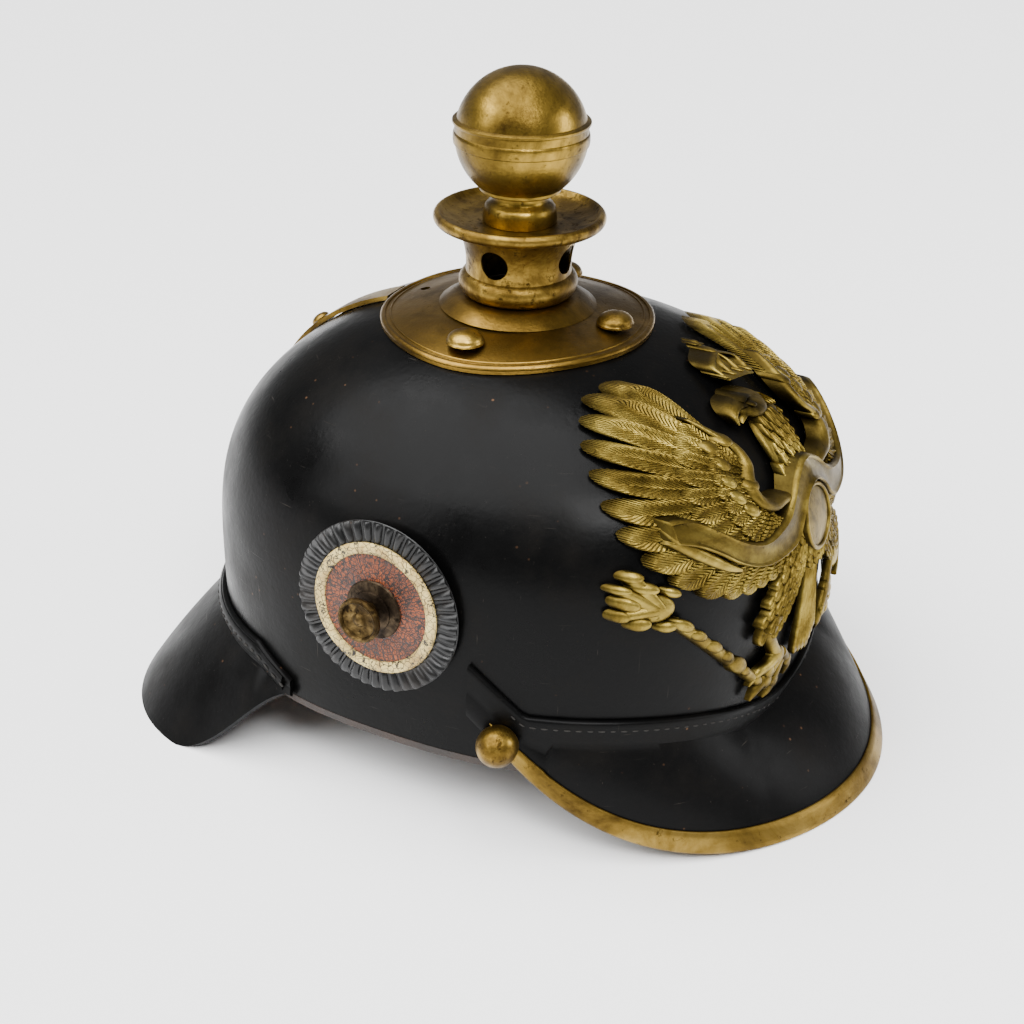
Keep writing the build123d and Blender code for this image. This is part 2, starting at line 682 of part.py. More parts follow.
shutter_height = 22.0
with BuildPart() as shutter:
    with Locations((0, back_y + 2.45, slot_z)):
        Box(10.6, 0.7, shutter_height)
    with BuildSketch(Plane(origin=(0, back_y + 2.6, slot_z - 7), x_dir=(1, 0, 0), z_dir=(0, 1, 0))):
        Circle(1.6)
    extrude(amount=3.0)
    fillet(shutter.faces().sort_by(Axis.Y)[-1].edges(), radius=1.0)
shutter.part.label = "vent_shutter"
export_step(shutter.part, "parts/vent_shutter.step")

# ---------------------------------------------------------------- edge welt and lining
welt_height = 2.6
with BuildPart() as welt:
    add(dome(0.1))
    add(dome(-wall - 0.4), mode=Mode.SUBTRACT)
    with Locations((0, 0, edge_z - air - welt_height / 2)):
        Box(blank_width, blank_length, welt_height, mode=Mode.INTERSECT)
    add(peak_form, mode=Mode.SUBTRACT)
    add(guard_form, mode=Mode.SUBTRACT)
welt.part.label = "edge_welt"
export_step(welt.part, "parts/edge_welt.step")

band_top = 72.0
with BuildPart() as sweatband:
    add(dome(-8))
    add(dome(-9.6), mode=Mode.SUBTRACT)
    with Locations((0, 0, (edge_z + 1 + band_top) / 2)):
        Box(blank_width, blank_length, band_top - edge_z - 1, mode=Mode.INTERSECT)
sweatband.part.label = "sweatband"
export_step(sweatband.part, "parts/sweatband.step")

finger_grow = -16.0
finger_outline = [(46, -16), (80, -19), (120, -21), (120, 21), (80, 19), (46, 16), (30, 7), (27, 0)]
finger_outline += [(30, -7)]
with BuildPart() as fingers:
    with BuildSketch(Plane.XY.offset(band_top + 1)):
        with Locations((0, crown_y)):
            with PolarLocations(0, finger_count):
                Polygon(*finger_outline, align=None)
    extrude(amount=100)
    add(dome(finger_grow), mode=Mode.INTERSECT)
    add(dome(finger_grow - 1.4), mode=Mode.SUBTRACT)
fingers.part.label = "lining_fingers"
export_step(fingers.part, "parts/lining_fingers.step")

lace_radius = 1.2
lace_z = dome_height(0, -30, finger_grow) + lace_radius + 0.6
with BuildPart(Plane(origin=(0, crown_y, lace_z), x_dir=(1, 0, 0), z_dir=(0, 0, 1))) as lace:
    Torus(31, lace_radius)
lace.part.label = "crown_lace"
export_step(lace.part, "parts/crown_lace.step")
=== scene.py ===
"""Looks of a ball-topped leather dress helmet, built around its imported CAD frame.

Sizes are in millimetres in the row frame: the front faces -Y, the wearer's right is -X, and the
floor is z = 0.
"""

import logging
from bisect import bisect
from dataclasses import dataclass, field
from enum import Enum
from math import cos, pi, radians, sin, sqrt
from typing import Callable, Sequence

import bmesh
import bpy
from mathutils import Matrix, Vector


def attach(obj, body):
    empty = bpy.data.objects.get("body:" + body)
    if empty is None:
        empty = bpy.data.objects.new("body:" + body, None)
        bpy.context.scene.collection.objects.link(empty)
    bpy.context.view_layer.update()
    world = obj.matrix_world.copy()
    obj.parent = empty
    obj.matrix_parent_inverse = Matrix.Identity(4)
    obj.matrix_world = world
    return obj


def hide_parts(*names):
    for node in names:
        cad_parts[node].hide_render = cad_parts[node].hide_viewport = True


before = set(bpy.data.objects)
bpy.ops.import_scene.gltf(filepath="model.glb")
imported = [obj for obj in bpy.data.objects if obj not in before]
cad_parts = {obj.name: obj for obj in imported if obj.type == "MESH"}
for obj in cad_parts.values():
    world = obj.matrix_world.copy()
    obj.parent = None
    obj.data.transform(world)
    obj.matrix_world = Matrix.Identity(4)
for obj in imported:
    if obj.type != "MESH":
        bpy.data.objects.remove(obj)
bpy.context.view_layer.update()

logging.basicConfig(level=logging.INFO, format="%(name)s: %(message)s")
log = logging.getLogger("helmet")

MM = 0.001
Point = tuple[float, float]
Tree = bpy.types.NodeTree
Socket = bpy.types.NodeSocket


class Body(Enum):
    """The rigid bodies of the helmet."""

    HELMET = "helmet"
    RIGHT_COCKADE = "cockade_right"
    LEFT_COCKADE = "cockade_left"
    SHUTTER = "shutter"


# ---------------------------------------------------------------- shader helpers
def linear(code: str) -> tuple[float, float, float, float]:
    """Turn an sRGB hex colour into linear light.

    Args:
        code: Colour such as "#6b5424".

    Returns:
        Linear red, green and blue, with an alpha of 1.
    """
    channels = [int(code[i : i + 2], 16) / 255 for i in (1, 3, 5)]
    light = [c / 12.92 if c <= 0.04045 else ((c + 0.055) / 1.055) ** 2.4 for c in channels]
    return (light[0], light[1], light[2], 1.0)


def add_node(
    tree: Tree, kind: str, settings: dict | None = None, inputs: dict | None = None
) -> bpy.types.Node:
    """Add a node with its settings and links.

    Args:
        tree: Shader or geometry tree.
        kind: The node's type name.
        settings: Properties by name; "stops" holds (position, hex colour) pairs for a colour ramp.
        inputs: Values or sockets to link, by input name or number.

    Returns:
        The new node.
    """
    node = tree.nodes.new(kind)
    for name, value in (settings or {}).items():
        if name == "stops":
            elements = node.color_ramp.elements
            while len(elements) < len(value):
                elements.new(1.0)
            for element, (position, code) in zip(elements, value):
                element.position = position
                element.color = linear(code)
        else:
            setattr(node, name, value)
    for name, value in (inputs or {}).items():
        if isinstance(value, Socket):
            tree.links.new(value, node.inputs[name])
        else:
            node.inputs[name].default_value = value
    return node


def noise(
    tree: Tree,
    place: Socket,
    size: float,
    detail: float = 2.0,
    roughness: float = 0.5,
    distortion: float = 0.0,
) -> Socket:
    """Add a cloudy noise whose patches are `size` millimetres across, and return its value."""
    inputs = {
        "Vector": place, "Scale": 1 / size, "Detail": detail, "Roughness": roughness, "Distortion": distortion
    }
    return add_node(tree, "ShaderNodeTexNoise", None, inputs).outputs["Fac"]


def span(
    tree: Tree,
    value: Socket,
    source: tuple[float, float],
    target: tuple[float, float] = (0, 1),
) -> Socket:
    """Add a clamped change of range from `source` to `target`, and return its result."""
    inputs = {
        "Value": value, "From Min": source[0], "From Max": source[1], "To Min": target[0], "To Max": target[1]
    }
    return add_node(tree, "ShaderNodeMapRange", None, inputs).outputs["Result"]


def worked(tree: Tree, operation: str, *terms: Socket | float) -> Socket:
    """Add one step of arithmetic on up to three terms, and return its value."""
    return add_node(tree, "ShaderNodeMath", {"operation": operation}, dict(enumerate(terms))).outputs["Value"]


def blend(
    tree: Tree,
    share: Socket | float,
    under: Socket | Sequence[float],
    over: Socket | Sequence[float],
) -> Socket:
    """Add a blend from one colour to another by `share`, and return the blended colour."""
    return add_node(tree, "ShaderNodeMix", {"data_type": "RGBA"}, {0: share, 6: under, 7: over}).outputs[2]


def colour_ramp(
    tree: Tree,
    share: Socket,
    stops: Sequence[tuple[float, str]],
) -> Socket:
    """Add a colour ramp through the stops, and return its colour."""
    return add_node(tree, "ShaderNodeValToRGB", {"stops": stops}, {"Fac": share}).outputs["Color"]


@dataclass(frozen=True)
class Finish:
    """A surface finish. Each kind adds its own nodes in `dress`.

    Attributes:
        name: Material name.
        slot: A material slot name; it is not used.
    """

    name: str
    slot: str

    def material(self) -> bpy.types.Material:
        """Return the finish's material, made once."""
        found = bpy.data.materials.get(self.name)
        if found:
            return found
        made = bpy.data.materials.new(self.name)
        made.use_nodes = True
        tree = made.node_tree
        shader = tree.nodes["Principled BSDF"]
        place = add_node(tree, "ShaderNodeTexCoord")
        scaled = add_node(
            tree,
            "ShaderNodeVectorMath",
            {"operation": "SCALE"},
            {0: place.outputs["Object"], "Scale": 1000.0},
        )
        self.dress(tree, shader, scaled.outputs["Vector"])
        return made

    def dress(self, tree: Tree, shader: bpy.types.Node, place: Socket) -> None:
        """Add the finish's nodes.

        Args:
            tree: The material's node tree.
            shader: Its Principled shader.
            place: Object coordinates in millimetres.
        """
        raise NotImplementedError


@dataclass(frozen=True)
class LacqueredLeather(Finish):
    """Boiled cowhide under old black lacquer: glossy, crazed, rubbed and full of fine scratches.

    The lacquer gives a soft clear highlight, and the rubs break it up.
    """

    colour: str = "#040404"
    rubbed: str = "#0a0806"
    chipped: str = "#6a4c34"
    gloss: float = 0.24
    wear: float = 1.0
    shine: float = 0.06

    def dress(self, tree: Tree, shader: bpy.types.Node, place: Socket) -> None:
        """Add lacquer, crazing, scratches and chips."""
        # Soft rubbed clouds, about 28 mm across.
        clouds = noise(tree, place, 28, detail=6.0, roughness=0.62)
        rub = span(tree, clouds, (0.5, 0.78))
        # Scratches run level and upright: streaks about 14 mm long and 0.5 mm wide, as coarse as shows.
        level = add_node(
            tree,
            "ShaderNodeMapping",
            None,
            {"Vector": place, "Scale": (1 / 14, 1 / 14, 1 / 0.55), "Rotation": (0.35, 0.2, 0)},
        )
        upright = add_node(
            tree,
            "ShaderNodeMapping",
            None,
            {"Vector": place, "Scale": (1 / 0.6, 1 / 0.6, 1 / 15), "Rotation": (0.1, 0.45, 0)},
        )
        streaks = []
        for turned in (level, upright):
            streak = noise(tree, turned.outputs["Vector"], 1.0)
            streaks.append(span(tree, streak, (0.73, 0.83)))
        scratch = worked(tree, "MAXIMUM", streaks[0], streaks[1])
        # Chips in the lacquer, 0.8 mm specks one to every 7 mm or so.
        dots = add_node(tree, "ShaderNodeTexVoronoi", None, {"Vector": place, "Scale": 1 / 6.5})
        speck = span(tree, dots.outputs["Distance"], (0.085, 0.05))
        thinned = worked(tree, "MULTIPLY", speck, rub)
        base = blend(tree, rub, linear(self.colour), linear(self.rubbed))
        lined = worked(tree, "MULTIPLY", scratch, 0.16 * self.wear)
        scored = blend(tree, lined, base, linear("#6f665c"))
        chips = blend(tree, thinned, scored, linear(self.chipped))
        tree.links.new(chips, shader.inputs["Base Color"])
        rough = span(tree, clouds, (0.35, 0.75), (self.gloss, self.gloss + 0.26))
        tree.links.new(rough, shader.inputs["Roughness"])
        shader.inputs["IOR"].default_value = 1.5
        shader.inputs["Specular IOR Level"].default_value = self.shine
        shader.inputs["Coat Weight"].default_value = 0.03
        shader.inputs["Coat Roughness"].default_value = 0.2
        # Orange peel of 1.7 mm under the scratches.
        peel = noise(tree, place, 1.7, detail=3.0)
        swell = noise(tree, place, 16)
        tall = worked(tree, "MULTIPLY_ADD", swell, 3.0, peel)
        cut_in = worked(tree, "SUBTRACT", tall, scratch)
        bump = add_node(
            tree, "ShaderNodeBump", None, {"Height": cut_in, "Strength": 0.32, "Distance": 0.0002}
        )
        tree.links.new(bump.outputs["Normal"], shader.inputs["Normal"])


@dataclass(frozen=True)
class AgedBrass(Finish):
    """Spun or pressed sheet brass, long unpolished: brown mottling, dark spots, rubbed bright patches.

    A rough warm metal whose highlights are broken by the tarnish.
    """

    dark: str = "#241808"
    middle: str = "#5f4a1e"
    bright: str = "#a5873e"
    roughness: float = 0.3
    mottle: float = 16.0
    spots: float = 0.62
    relief: bool = False

    def dress(self, tree: Tree, shader: bpy.types.Node, place: Socket) -> None:
        """Add mottled tarnish, spots, fine pits and, on relief pieces, painted shade in the recesses."""
        cloud = noise(tree, place, self.mottle, detail=8.0, roughness=0.66, distortion=0.4)
        ramp = colour_ramp(tree, cloud, [(0.3, self.dark), (0.47, self.middle), (0.66, self.bright)])
        # Spots of brown oxide, about 3 mm across.
        spot = noise(tree, place, 3.2, detail=4.0, roughness=0.7)
        stain = span(tree, spot, (self.spots - 0.06, self.spots + 0.05))
        faded = worked(tree, "MULTIPLY", stain, 0.8)
        colour = blend(tree, faded, ramp, linear(self.dark))
        finished = colour
        # Painted shade: where the relief attribute is low, in the struck relief's recesses, the colour
        # darkens towards the dark tone.
        if self.relief:
            height = add_node(tree, "ShaderNodeAttribute", {"attribute_name": "relief"})
            recess_shade = span(tree, height.outputs["Fac"], (0.75, 0.1), (0, 0.9))
            deep = blend(tree, recess_shade, finished, linear(self.dark))
            finished = deep
        tree.links.new(finished, shader.inputs["Base Color"])
        shader.inputs["Metallic"].default_value = 1.0
        rough = span(tree, cloud, (0.3, 0.7), (self.roughness + 0.2, self.roughness))
        dulled = worked(tree, "MULTIPLY_ADD", stain, 0.22, rough)
        tree.links.new(dulled, shader.inputs["Roughness"])
        # Pits of 0.9 mm, as coarse as shows, on soft dents of 12 mm.
        pits = noise(tree, place, 0.9, detail=3.0)
        dents = noise(tree, place, 12, detail=1.0)
        tall = worked(tree, "MULTIPLY_ADD", dents, 4.0, pits)
        bump = add_node(tree, "ShaderNodeBump", None, {"Height": tall, "Strength": 0.3, "Distance": 0.00025})
        tree.links.new(bump.outputs["Normal"], shader.inputs["Normal"])


@dataclass(frozen=True)
class FeatherBrass(AgedBrass):
    """Die-struck brass feathers: the barbs are fine slanting grooves each side of the quill."""

    barb_pitch: float = 1.5

    def dress(self, tree: Tree, shader: bpy.types.Node, place: Socket) -> None:
        """Add the brass, then barbs that follow each feather's own map."""
        super().dress(tree, shader, place)
        own = add_node(tree, "ShaderNodeUVMap", {"uv_map": "lie"})
        split = add_node(tree, "ShaderNodeSeparateXYZ", None, {"Vector": own.outputs["UV"]})
        side = worked(tree, "ABSOLUTE", split.outputs["X"])
        slant = worked(tree, "MULTIPLY_ADD", side, -1.4, split.outputs["Y"])
        turns = worked(tree, "MULTIPLY", slant, 2 * pi / self.barb_pitch)
        wave = worked(tree, "SINE", turns)
        old = shader.inputs["Normal"].links[0].from_socket
        groove = add_node(
            tree,
            "ShaderNodeBump",
            None,
            {"Height": wave, "Normal": old, "Strength": 0.75, "Distance": 0.0003},
        )
        tree.links.new(groove.outputs["Normal"], shader.inputs["Normal"])


@dataclass(frozen=True)
class TannedLeather(Finish):
    """Vegetable-tanned hide with open grain, darker where hands and sweat have been."""

    colour: str = "#6b4a30"
    worn: str = "#3a2415"
    roughness: float = 0.62

    def dress(self, tree: Tree, shader: bpy.types.Node, place: Socket) -> None:
        """Add stains and pores."""
        stain = noise(tree, place, 22, detail=7.0, roughness=0.65)
        ramp = colour_ramp(tree, stain, [(0.34, self.worn), (0.62, self.colour)])
        tree.links.new(ramp, shader.inputs["Base Color"])
        shader.inputs["Roughness"].default_value = self.roughness
        # Pores about 1.3 mm apart.
        grain = add_node(
            tree, "ShaderNodeTexVoronoi", {"feature": "DISTANCE_TO_EDGE"}, {"Vector": place, "Scale": 1 / 1.3}
        )
        creases = noise(tree, place, 5, detail=4.0)
        tall = worked(tree, "ADD", grain.outputs["Distance"], creases)
        bump = add_node(tree, "ShaderNodeBump", None, {"Height": tall, "Strength": 0.5, "Distance": 0.0004})
        tree.links.new(bump.outputs["Normal"], shader.inputs["Normal"])


@dataclass(frozen=True)
class FlakedPaint(Finish):
    """Brushed oil paint on a metal ring: faded and crazed, flaked to the dark metal at its edges."""

    colour: str = "#d2bc78"
    faded: str = "#96783e"
    under: str = "#1c150c"
    flaking: float = 0.6
    cracks: float = 0.03
    spokes: float = 0.0
    plate: float = 2.4

    def dress(self, tree: Tree, shader: bpy.types.Node, place: Socket) -> None:
        """Add paint, crazing and flakes."""
        cloud = noise(tree, place, 6, detail=7.0, roughness=0.68)
        paint = colour_ramp(tree, cloud, [(0.36, self.faded), (0.58, self.colour)])
        # Crazing in plates a few millimetres across.
        warp = add_node(tree, "ShaderNodeTexNoise", None, {"Vector": place, "Scale": 1 / 4})
        bent = add_node(
            tree,
            "ShaderNodeVectorMath",
            {"operation": "MULTIPLY_ADD"},
            {0: warp.outputs["Color"], 1: (2.2, 2.2, 2.2), 2: place},
        )
        craze = add_node(
            tree,
            "ShaderNodeTexVoronoi",
            {"feature": "DISTANCE_TO_EDGE"},
            {"Vector": bent.outputs["Vector"], "Scale": 1 / self.plate},
        )
        crack = span(tree, craze.outputs["Distance"], (self.cracks * 1.8, self.cracks * 0.5))
        chips = noise(tree, place, 3, detail=5.0, roughness=0.75)
        flake = span(tree, chips, (self.flaking, self.flaking + 0.04))
        gone = worked(tree, "MAXIMUM", crack, flake)
        lost = gone
        if self.spokes:
            own = add_node(tree, "ShaderNodeUVMap", {"uv_map": "lie"})
            split = add_node(tree, "ShaderNodeSeparateXYZ", None, {"Vector": own.outputs["UV"]})
            jitter = add_node(
                tree,
                "ShaderNodeTexNoise",
                {"noise_dimensions": "2D"},
                {"Vector": own.outputs["UV"], "Scale": 0.45, "Detail": 3.0},
            )
            round_it = worked(tree, "MULTIPLY_ADD", jitter.outputs["Fac"], 2.4, split.outputs["X"])
            line = add_node(
                tree,
                "ShaderNodeTexNoise",
                {"noise_dimensions": "1D"},
                {"W": round_it, "Scale": self.spokes, "Detail": 2.0},
            )
            ray = span(tree, line.outputs["Fac"], (0.5, 0.6))
            both = worked(tree, "MAXIMUM", lost, ray)
            lost = both
        colour = blend(tree, lost, paint, linear(self.under))
        tree.links.new(colour, shader.inputs["Base Color"])
        rough = span(tree, cloud, (0, 1), (0.36, 0.62))
        tree.links.new(rough, shader.inputs["Roughness"])
        sunk = worked(tree, "SUBTRACT", cloud, lost)
        bump = add_node(tree, "ShaderNodeBump", None, {"Height": sunk, "Strength": 0.6, "Distance": 0.0003})
        tree.links.new(bump.outputs["Normal"], shader.inputs["Normal"])


@dataclass(frozen=True)
class CottonThread(Finish):
    """Waxed linen or cotton thread: matt, with the ply just showing."""

    colour: str = "#171410"

    def dress(self, tree: Tree, shader: bpy.types.Node, place: Socket) -> None:
        """Add dirt along the thread."""
        dirt = noise(tree, place, 3, detail=3.0)
        ramp = colour_ramp(tree, dirt, [(0.35, "#14110d"), (0.7, self.colour)])
        tree.links.new(ramp, shader.inputs["Base Color"])
        shader.inputs["Roughness"].default_value = 0.9


@dataclass(frozen=True)
class SplitWood(Finish):
    """Whittled hardwood pins, dark with age, with the grain along X."""

    colour: str = "#7c5a37"

    def dress(self, tree: Tree, shader: bpy.types.Node, place: Socket) -> None:
        """Add grain 0.6 mm wide and 8 mm long."""
        along = add_node(
            tree, "ShaderNodeMapping", None, {"Vector": place, "Scale": (1 / 8, 1 / 0.6, 1 / 0.6)}
        )
        grain = noise(tree, along.outputs["Vector"], 1.0, detail=3.0)
        ramp = colour_ramp(tree, grain, [(0.3, "#3d2814"), (0.7, self.colour)])
        tree.links.new(ramp, shader.inputs["Base Color"])
        shader.inputs["Roughness"].default_value = 0.6


BLACK_LEATHER = LacqueredLeather("lacquered_leather", "black_leather")
PEAK_LEATHER = LacqueredLeather(
    "lacquered_peak_leather", "black_leather", rubbed="#0b0907", gloss=0.32, shine=0.06
)
PLEAT_BLACK = LacqueredLeather(
    "japanned_pleats", "black_pleats", colour="#050505", rubbed="#241e19", gloss=0.26, wear=1.6, shine=0.34
)
EDGE_LEATHER = TannedLeather("cut_edge_leather", "brown_leather", colour="#2c1a0e", worn="#150c06")
LINING_LEATHER = TannedLeather(
    "lining_sheepskin", "lining_leather", colour="#8a6543", worn="#4a3220", roughness=0.7
)
FITTING_BRASS = AgedBrass("spun_brass", "aged_brass")
PLATE_BRASS = AgedBrass(
    "plate_brass",
    "dark_brass",
    dark="#2c200c",
    middle="#57431a",
    bright="#86692d",
    roughness=0.28,
    mottle=34,
    spots=0.68,
)
BALL_BRASS = AgedBrass(
    "ball_brass",
    "aged_brass",
    dark="#2c1f0b",
    middle="#64501f",
    bright="#a68738",
    roughness=0.25,
    mottle=26,
    spots=0.66,
)
TRIM_BRASS = AgedBrass(
    "rim_brass",
    "aged_brass",
    dark="#2e210e",
    middle="#6b5524",
    bright="#9a8042",
    roughness=0.32,
    mottle=34,
    spots=0.67,
)
# relief=True paints shade into the recesses of the struck relief.
EMBLEM_BRASS = AgedBrass(
    "struck_brass",
    "pale_brass",
    dark="#221b09",
    middle="#6a5825",
    bright="#9f8b43",
    roughness=0.33,
    mottle=18,
    spots=0.68,
    relief=True,
)
# relief=True paints shade into the recesses of the struck feathers.
FEATHER_BRASS = FeatherBrass(
    "struck_feather_brass",
    "pale_brass",
    dark="#221b09",
    middle="#6a5825",
    bright="#9f8b43",
    roughness=0.33,
    mottle=18,
    spots=0.68,
    relief=True,
)
POST_BRASS = AgedBrass(
    "blackened_post_brass",
    "dark_brass",
    dark="#17100a",
    middle="#3a2d18",
    bright="#75603a",
    roughness=0.36,
    mottle=7,
    spots=0.6,
)
WASHER_METAL = AgedBrass(
    "blackened_washer",
    "dark_brass",
    dark="#120e0a",
    middle="#2a221a",
    bright="#4d4132",
    roughness=0.42,
    mottle=6,
    spots=0.6,
)
CREAM_PAINT = FlakedPaint("cream_ring_paint", "cream_enamel", flaking=0.56, plate=2.0)
RED_PAINT = FlakedPaint(
    "crazed_red_paint",
    "rust_red",
    colour="#8a3f0c",
    faded="#4c1f07",
    under="#0e0805",
    flaking=0.56,
    cracks=0.07,
    spokes=1.5,
    plate=1.5,
)
SEAM_THREAD = CottonThread("waxed_seam_thread", "lace_cord")
LACE_COTTON = CottonThread("crown_lace_cotton", "lace_cord", colour="#b8a888")
PIN_WOOD = SplitWood("whittled_pin_wood", "pin_wood")


# ---------------------------------------------------------------- mesh helpers
@dataclass
class Skin:
    """Points and faces of a piece in the making, in millimetres."""

    points: list[Vector] = field(default_factory=list)
    faces: list[tuple[int, ...]] = field(default_factory=list)
    lie: list[Point] = field(default_factory=list)
    relief: list[float] = field(default_factory=list)

    def grid(
        self,
        rows: Sequence[Sequence[Vector]],
        ring: bool = False,
        loop: bool = False,
        cap: bool = False,
        lie: Callable[[int, int], Point] | None = None,
        relief: Callable[[int, int], float] | None = None,
    ) -> None:
        """Add a grid of points with its faces.

        Args:
            rows: Rows of points, all of one length.
            ring: Whether each row closes on itself.
            loop: Whether the last row joins the first.
            cap: Whether the first and last rows are closed with a face.
            lie: Gives a point's own map coordinates from its row and column.
            relief: Gives a point's height share from its row and column.
        """
        start = len(self.points)
        across = len(rows[0])
        for i, row in enumerate(rows):
            for j, point in enumerate(row):
                self.points.append(point)
                self.lie.append(lie(i, j) if lie else (0.0, 0.0))
                self.relief.append(relief(i, j) if relief else 1.0)
        for i in range(len(rows) if loop else len(rows) - 1):
            for j in range(across if ring else across - 1):
                a = start + i * across
                b = start + (i + 1) % len(rows) * across
                k = (j + 1) % across
                self.faces.append((a + j, a + k, b + k, b + j))
        if cap:
            last = start + (len(rows) - 1) * across
            self.faces.append(tuple(start + j for j in range(across)))
            self.faces.append(tuple(last + j for j in reversed(range(across))))

    def turned(self, profile: Sequence[Point], place: Matrix, steps: int = 96) -> None:
        """Add a closed outline turned about the local Z axis.

        Args:
            profile: Closed outline of (radius, height) points.
            place: Where the local frame stands.
            steps: Points round the axis.
        """
        rows = []
        for k in range(steps):
            angle = 2 * pi * k / steps
            rows.append([place @ Vector((r * cos(angle), r * sin(angle), h)) for r, h in profile])
        self.grid(rows, ring=True, loop=True, lie=lambda i, j: (22 * 2 * pi * i / steps, profile[j][0]))


def finish_piece(
    name: str,
    mesh: bpy.types.Mesh,
    finish: Finish,
    body: Body,
    nodes: Sequence[str] = (),
    angle: float = 38,
    bevel: float = 0.0,
) -> bpy.types.Object:
    """Dress a mesh that is in metres, and hang it on its body.

    Args:
        name: Piece name.
        mesh: Its mesh, in place.
        finish: Its finish.
        body: The body that it rides on.
        nodes: CAD nodes that it stands for.
        angle: Edges turned by more than this many degrees stay sharp.
        bevel: Width of rounding on sharp edges in millimetres, or 0.

    Returns:
        The piece's object.
    """
    mesh.materials.clear()
    mesh.materials.append(finish.material())
    mesh.shade_smooth()
    mesh.set_sharp_from_angle(angle=radians(angle))
    piece = bpy.data.objects.new(name, mesh)
    bpy.context.scene.collection.objects.link(piece)
    if bevel:
        rounding = piece.modifiers.new("edge_rounding", "BEVEL")
        rounding.width = bevel * MM
        rounding.segments = 2
        rounding.limit_method = "ANGLE"
        rounding.angle_limit = radians(angle)
    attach(piece, body.value)
    if nodes:
        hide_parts(*nodes)
    log.info("%s: %d faces", name, len(mesh.polygons))
    return piece


def make_piece(
    name: str,
    skin: Skin,
    finish: Finish,
    body: Body,
    nodes: Sequence[str] = (),
    angle: float = 38,
    bevel: float = 0.0,
) -> bpy.types.Object:
    """Turn a skin into a finished piece.

    Args:
        name: Piece name.
        skin: Its points and faces.
        finish: Its finish.
        body: The body that it rides on.
        nodes: CAD nodes that it stands for.
        angle: Edges turned by more than this many degrees stay sharp.
        bevel: Width of rounding on sharp edges in millimetres, or 0.

    Returns:
        The piece's object.
    """
    mesh = bpy.data.meshes.new(name)
    mesh.from_pydata([p * MM for p in skin.points], [], skin.faces)
    chart = mesh.uv_layers.new(name="lie")
    for loop in mesh.loops:
        chart.data[loop.index].uv = skin.lie[loop.vertex_index]
    height = mesh.attributes.new("relief", "FLOAT", "POINT")
    height.data.foreach_set("value", skin.relief)
    shape = bmesh.new()
    shape.from_mesh(mesh)
    bmesh.ops.remove_doubles(shape, verts=shape.verts, dist=0.002 * MM)
    bmesh.ops.dissolve_degenerate(shape, edges=shape.edges, dist=0.001 * MM)
    bmesh.ops.recalc_face_normals(shape, faces=shape.faces)
    shape.to_mesh(mesh)
    shape.free()
    return finish_piece(name, mesh, finish, body, nodes, angle, bevel)


def cast_piece(name: str, node: str, finish: Finish, body: Body, angle: float = 30) -> bpy.types.Object:
    """Make a smooth-shaded copy of a CAD node, joined along its edges.

    Args:
        name: Piece name.
        node: The CAD node.
        finish: Its finish.
        body: The body that it rides on.
        angle: Edges turned by more than this many degrees stay sharp.

    Returns:
        The piece's object.
    """
    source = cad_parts[node].data
    skin = Skin()
    skin.points = [v.co / MM for v in source.vertices]
    skin.faces = [tuple(p.vertices) for p in source.polygons]
    skin.lie = [(0.0, 0.0)] * len(skin.points)
    skin.relief = [0.35] * len(skin.points)
    return make_piece(name, skin, finish, body, [node], angle)


def catmull(points: Sequence[Vector], steps: int) -> list[Vector]:
    """Run a smooth line through points.

    Args:
        points: Two or more points.
        steps: Samples between neighbours.

    Returns:
        Points on the line, the ends included.
    """
    held = [points[0], *points, points[-1]]
    line = []
    for a, b, c, d in zip(held, held[1:], held[2:], held[3:]):
        for k in range(steps):
            t = k / steps
            line.append(
                (
                    (-a + 3 * b - 3 * c + d) * t**3 + (2 * a - 5 * b + 4 * c - d) * t**2 + (c - a) * t + 2 * b
                ) / 2
            )
    line.append(points[-1])
    return line


# ---------------------------------------------------------------- geometry node trees
def named_input(tree: Tree, name: str, kind: str) -> None:
    """Give a node tree one named input."""
    tree.interface.new_socket(name=name, in_out="INPUT", socket_type=kind)


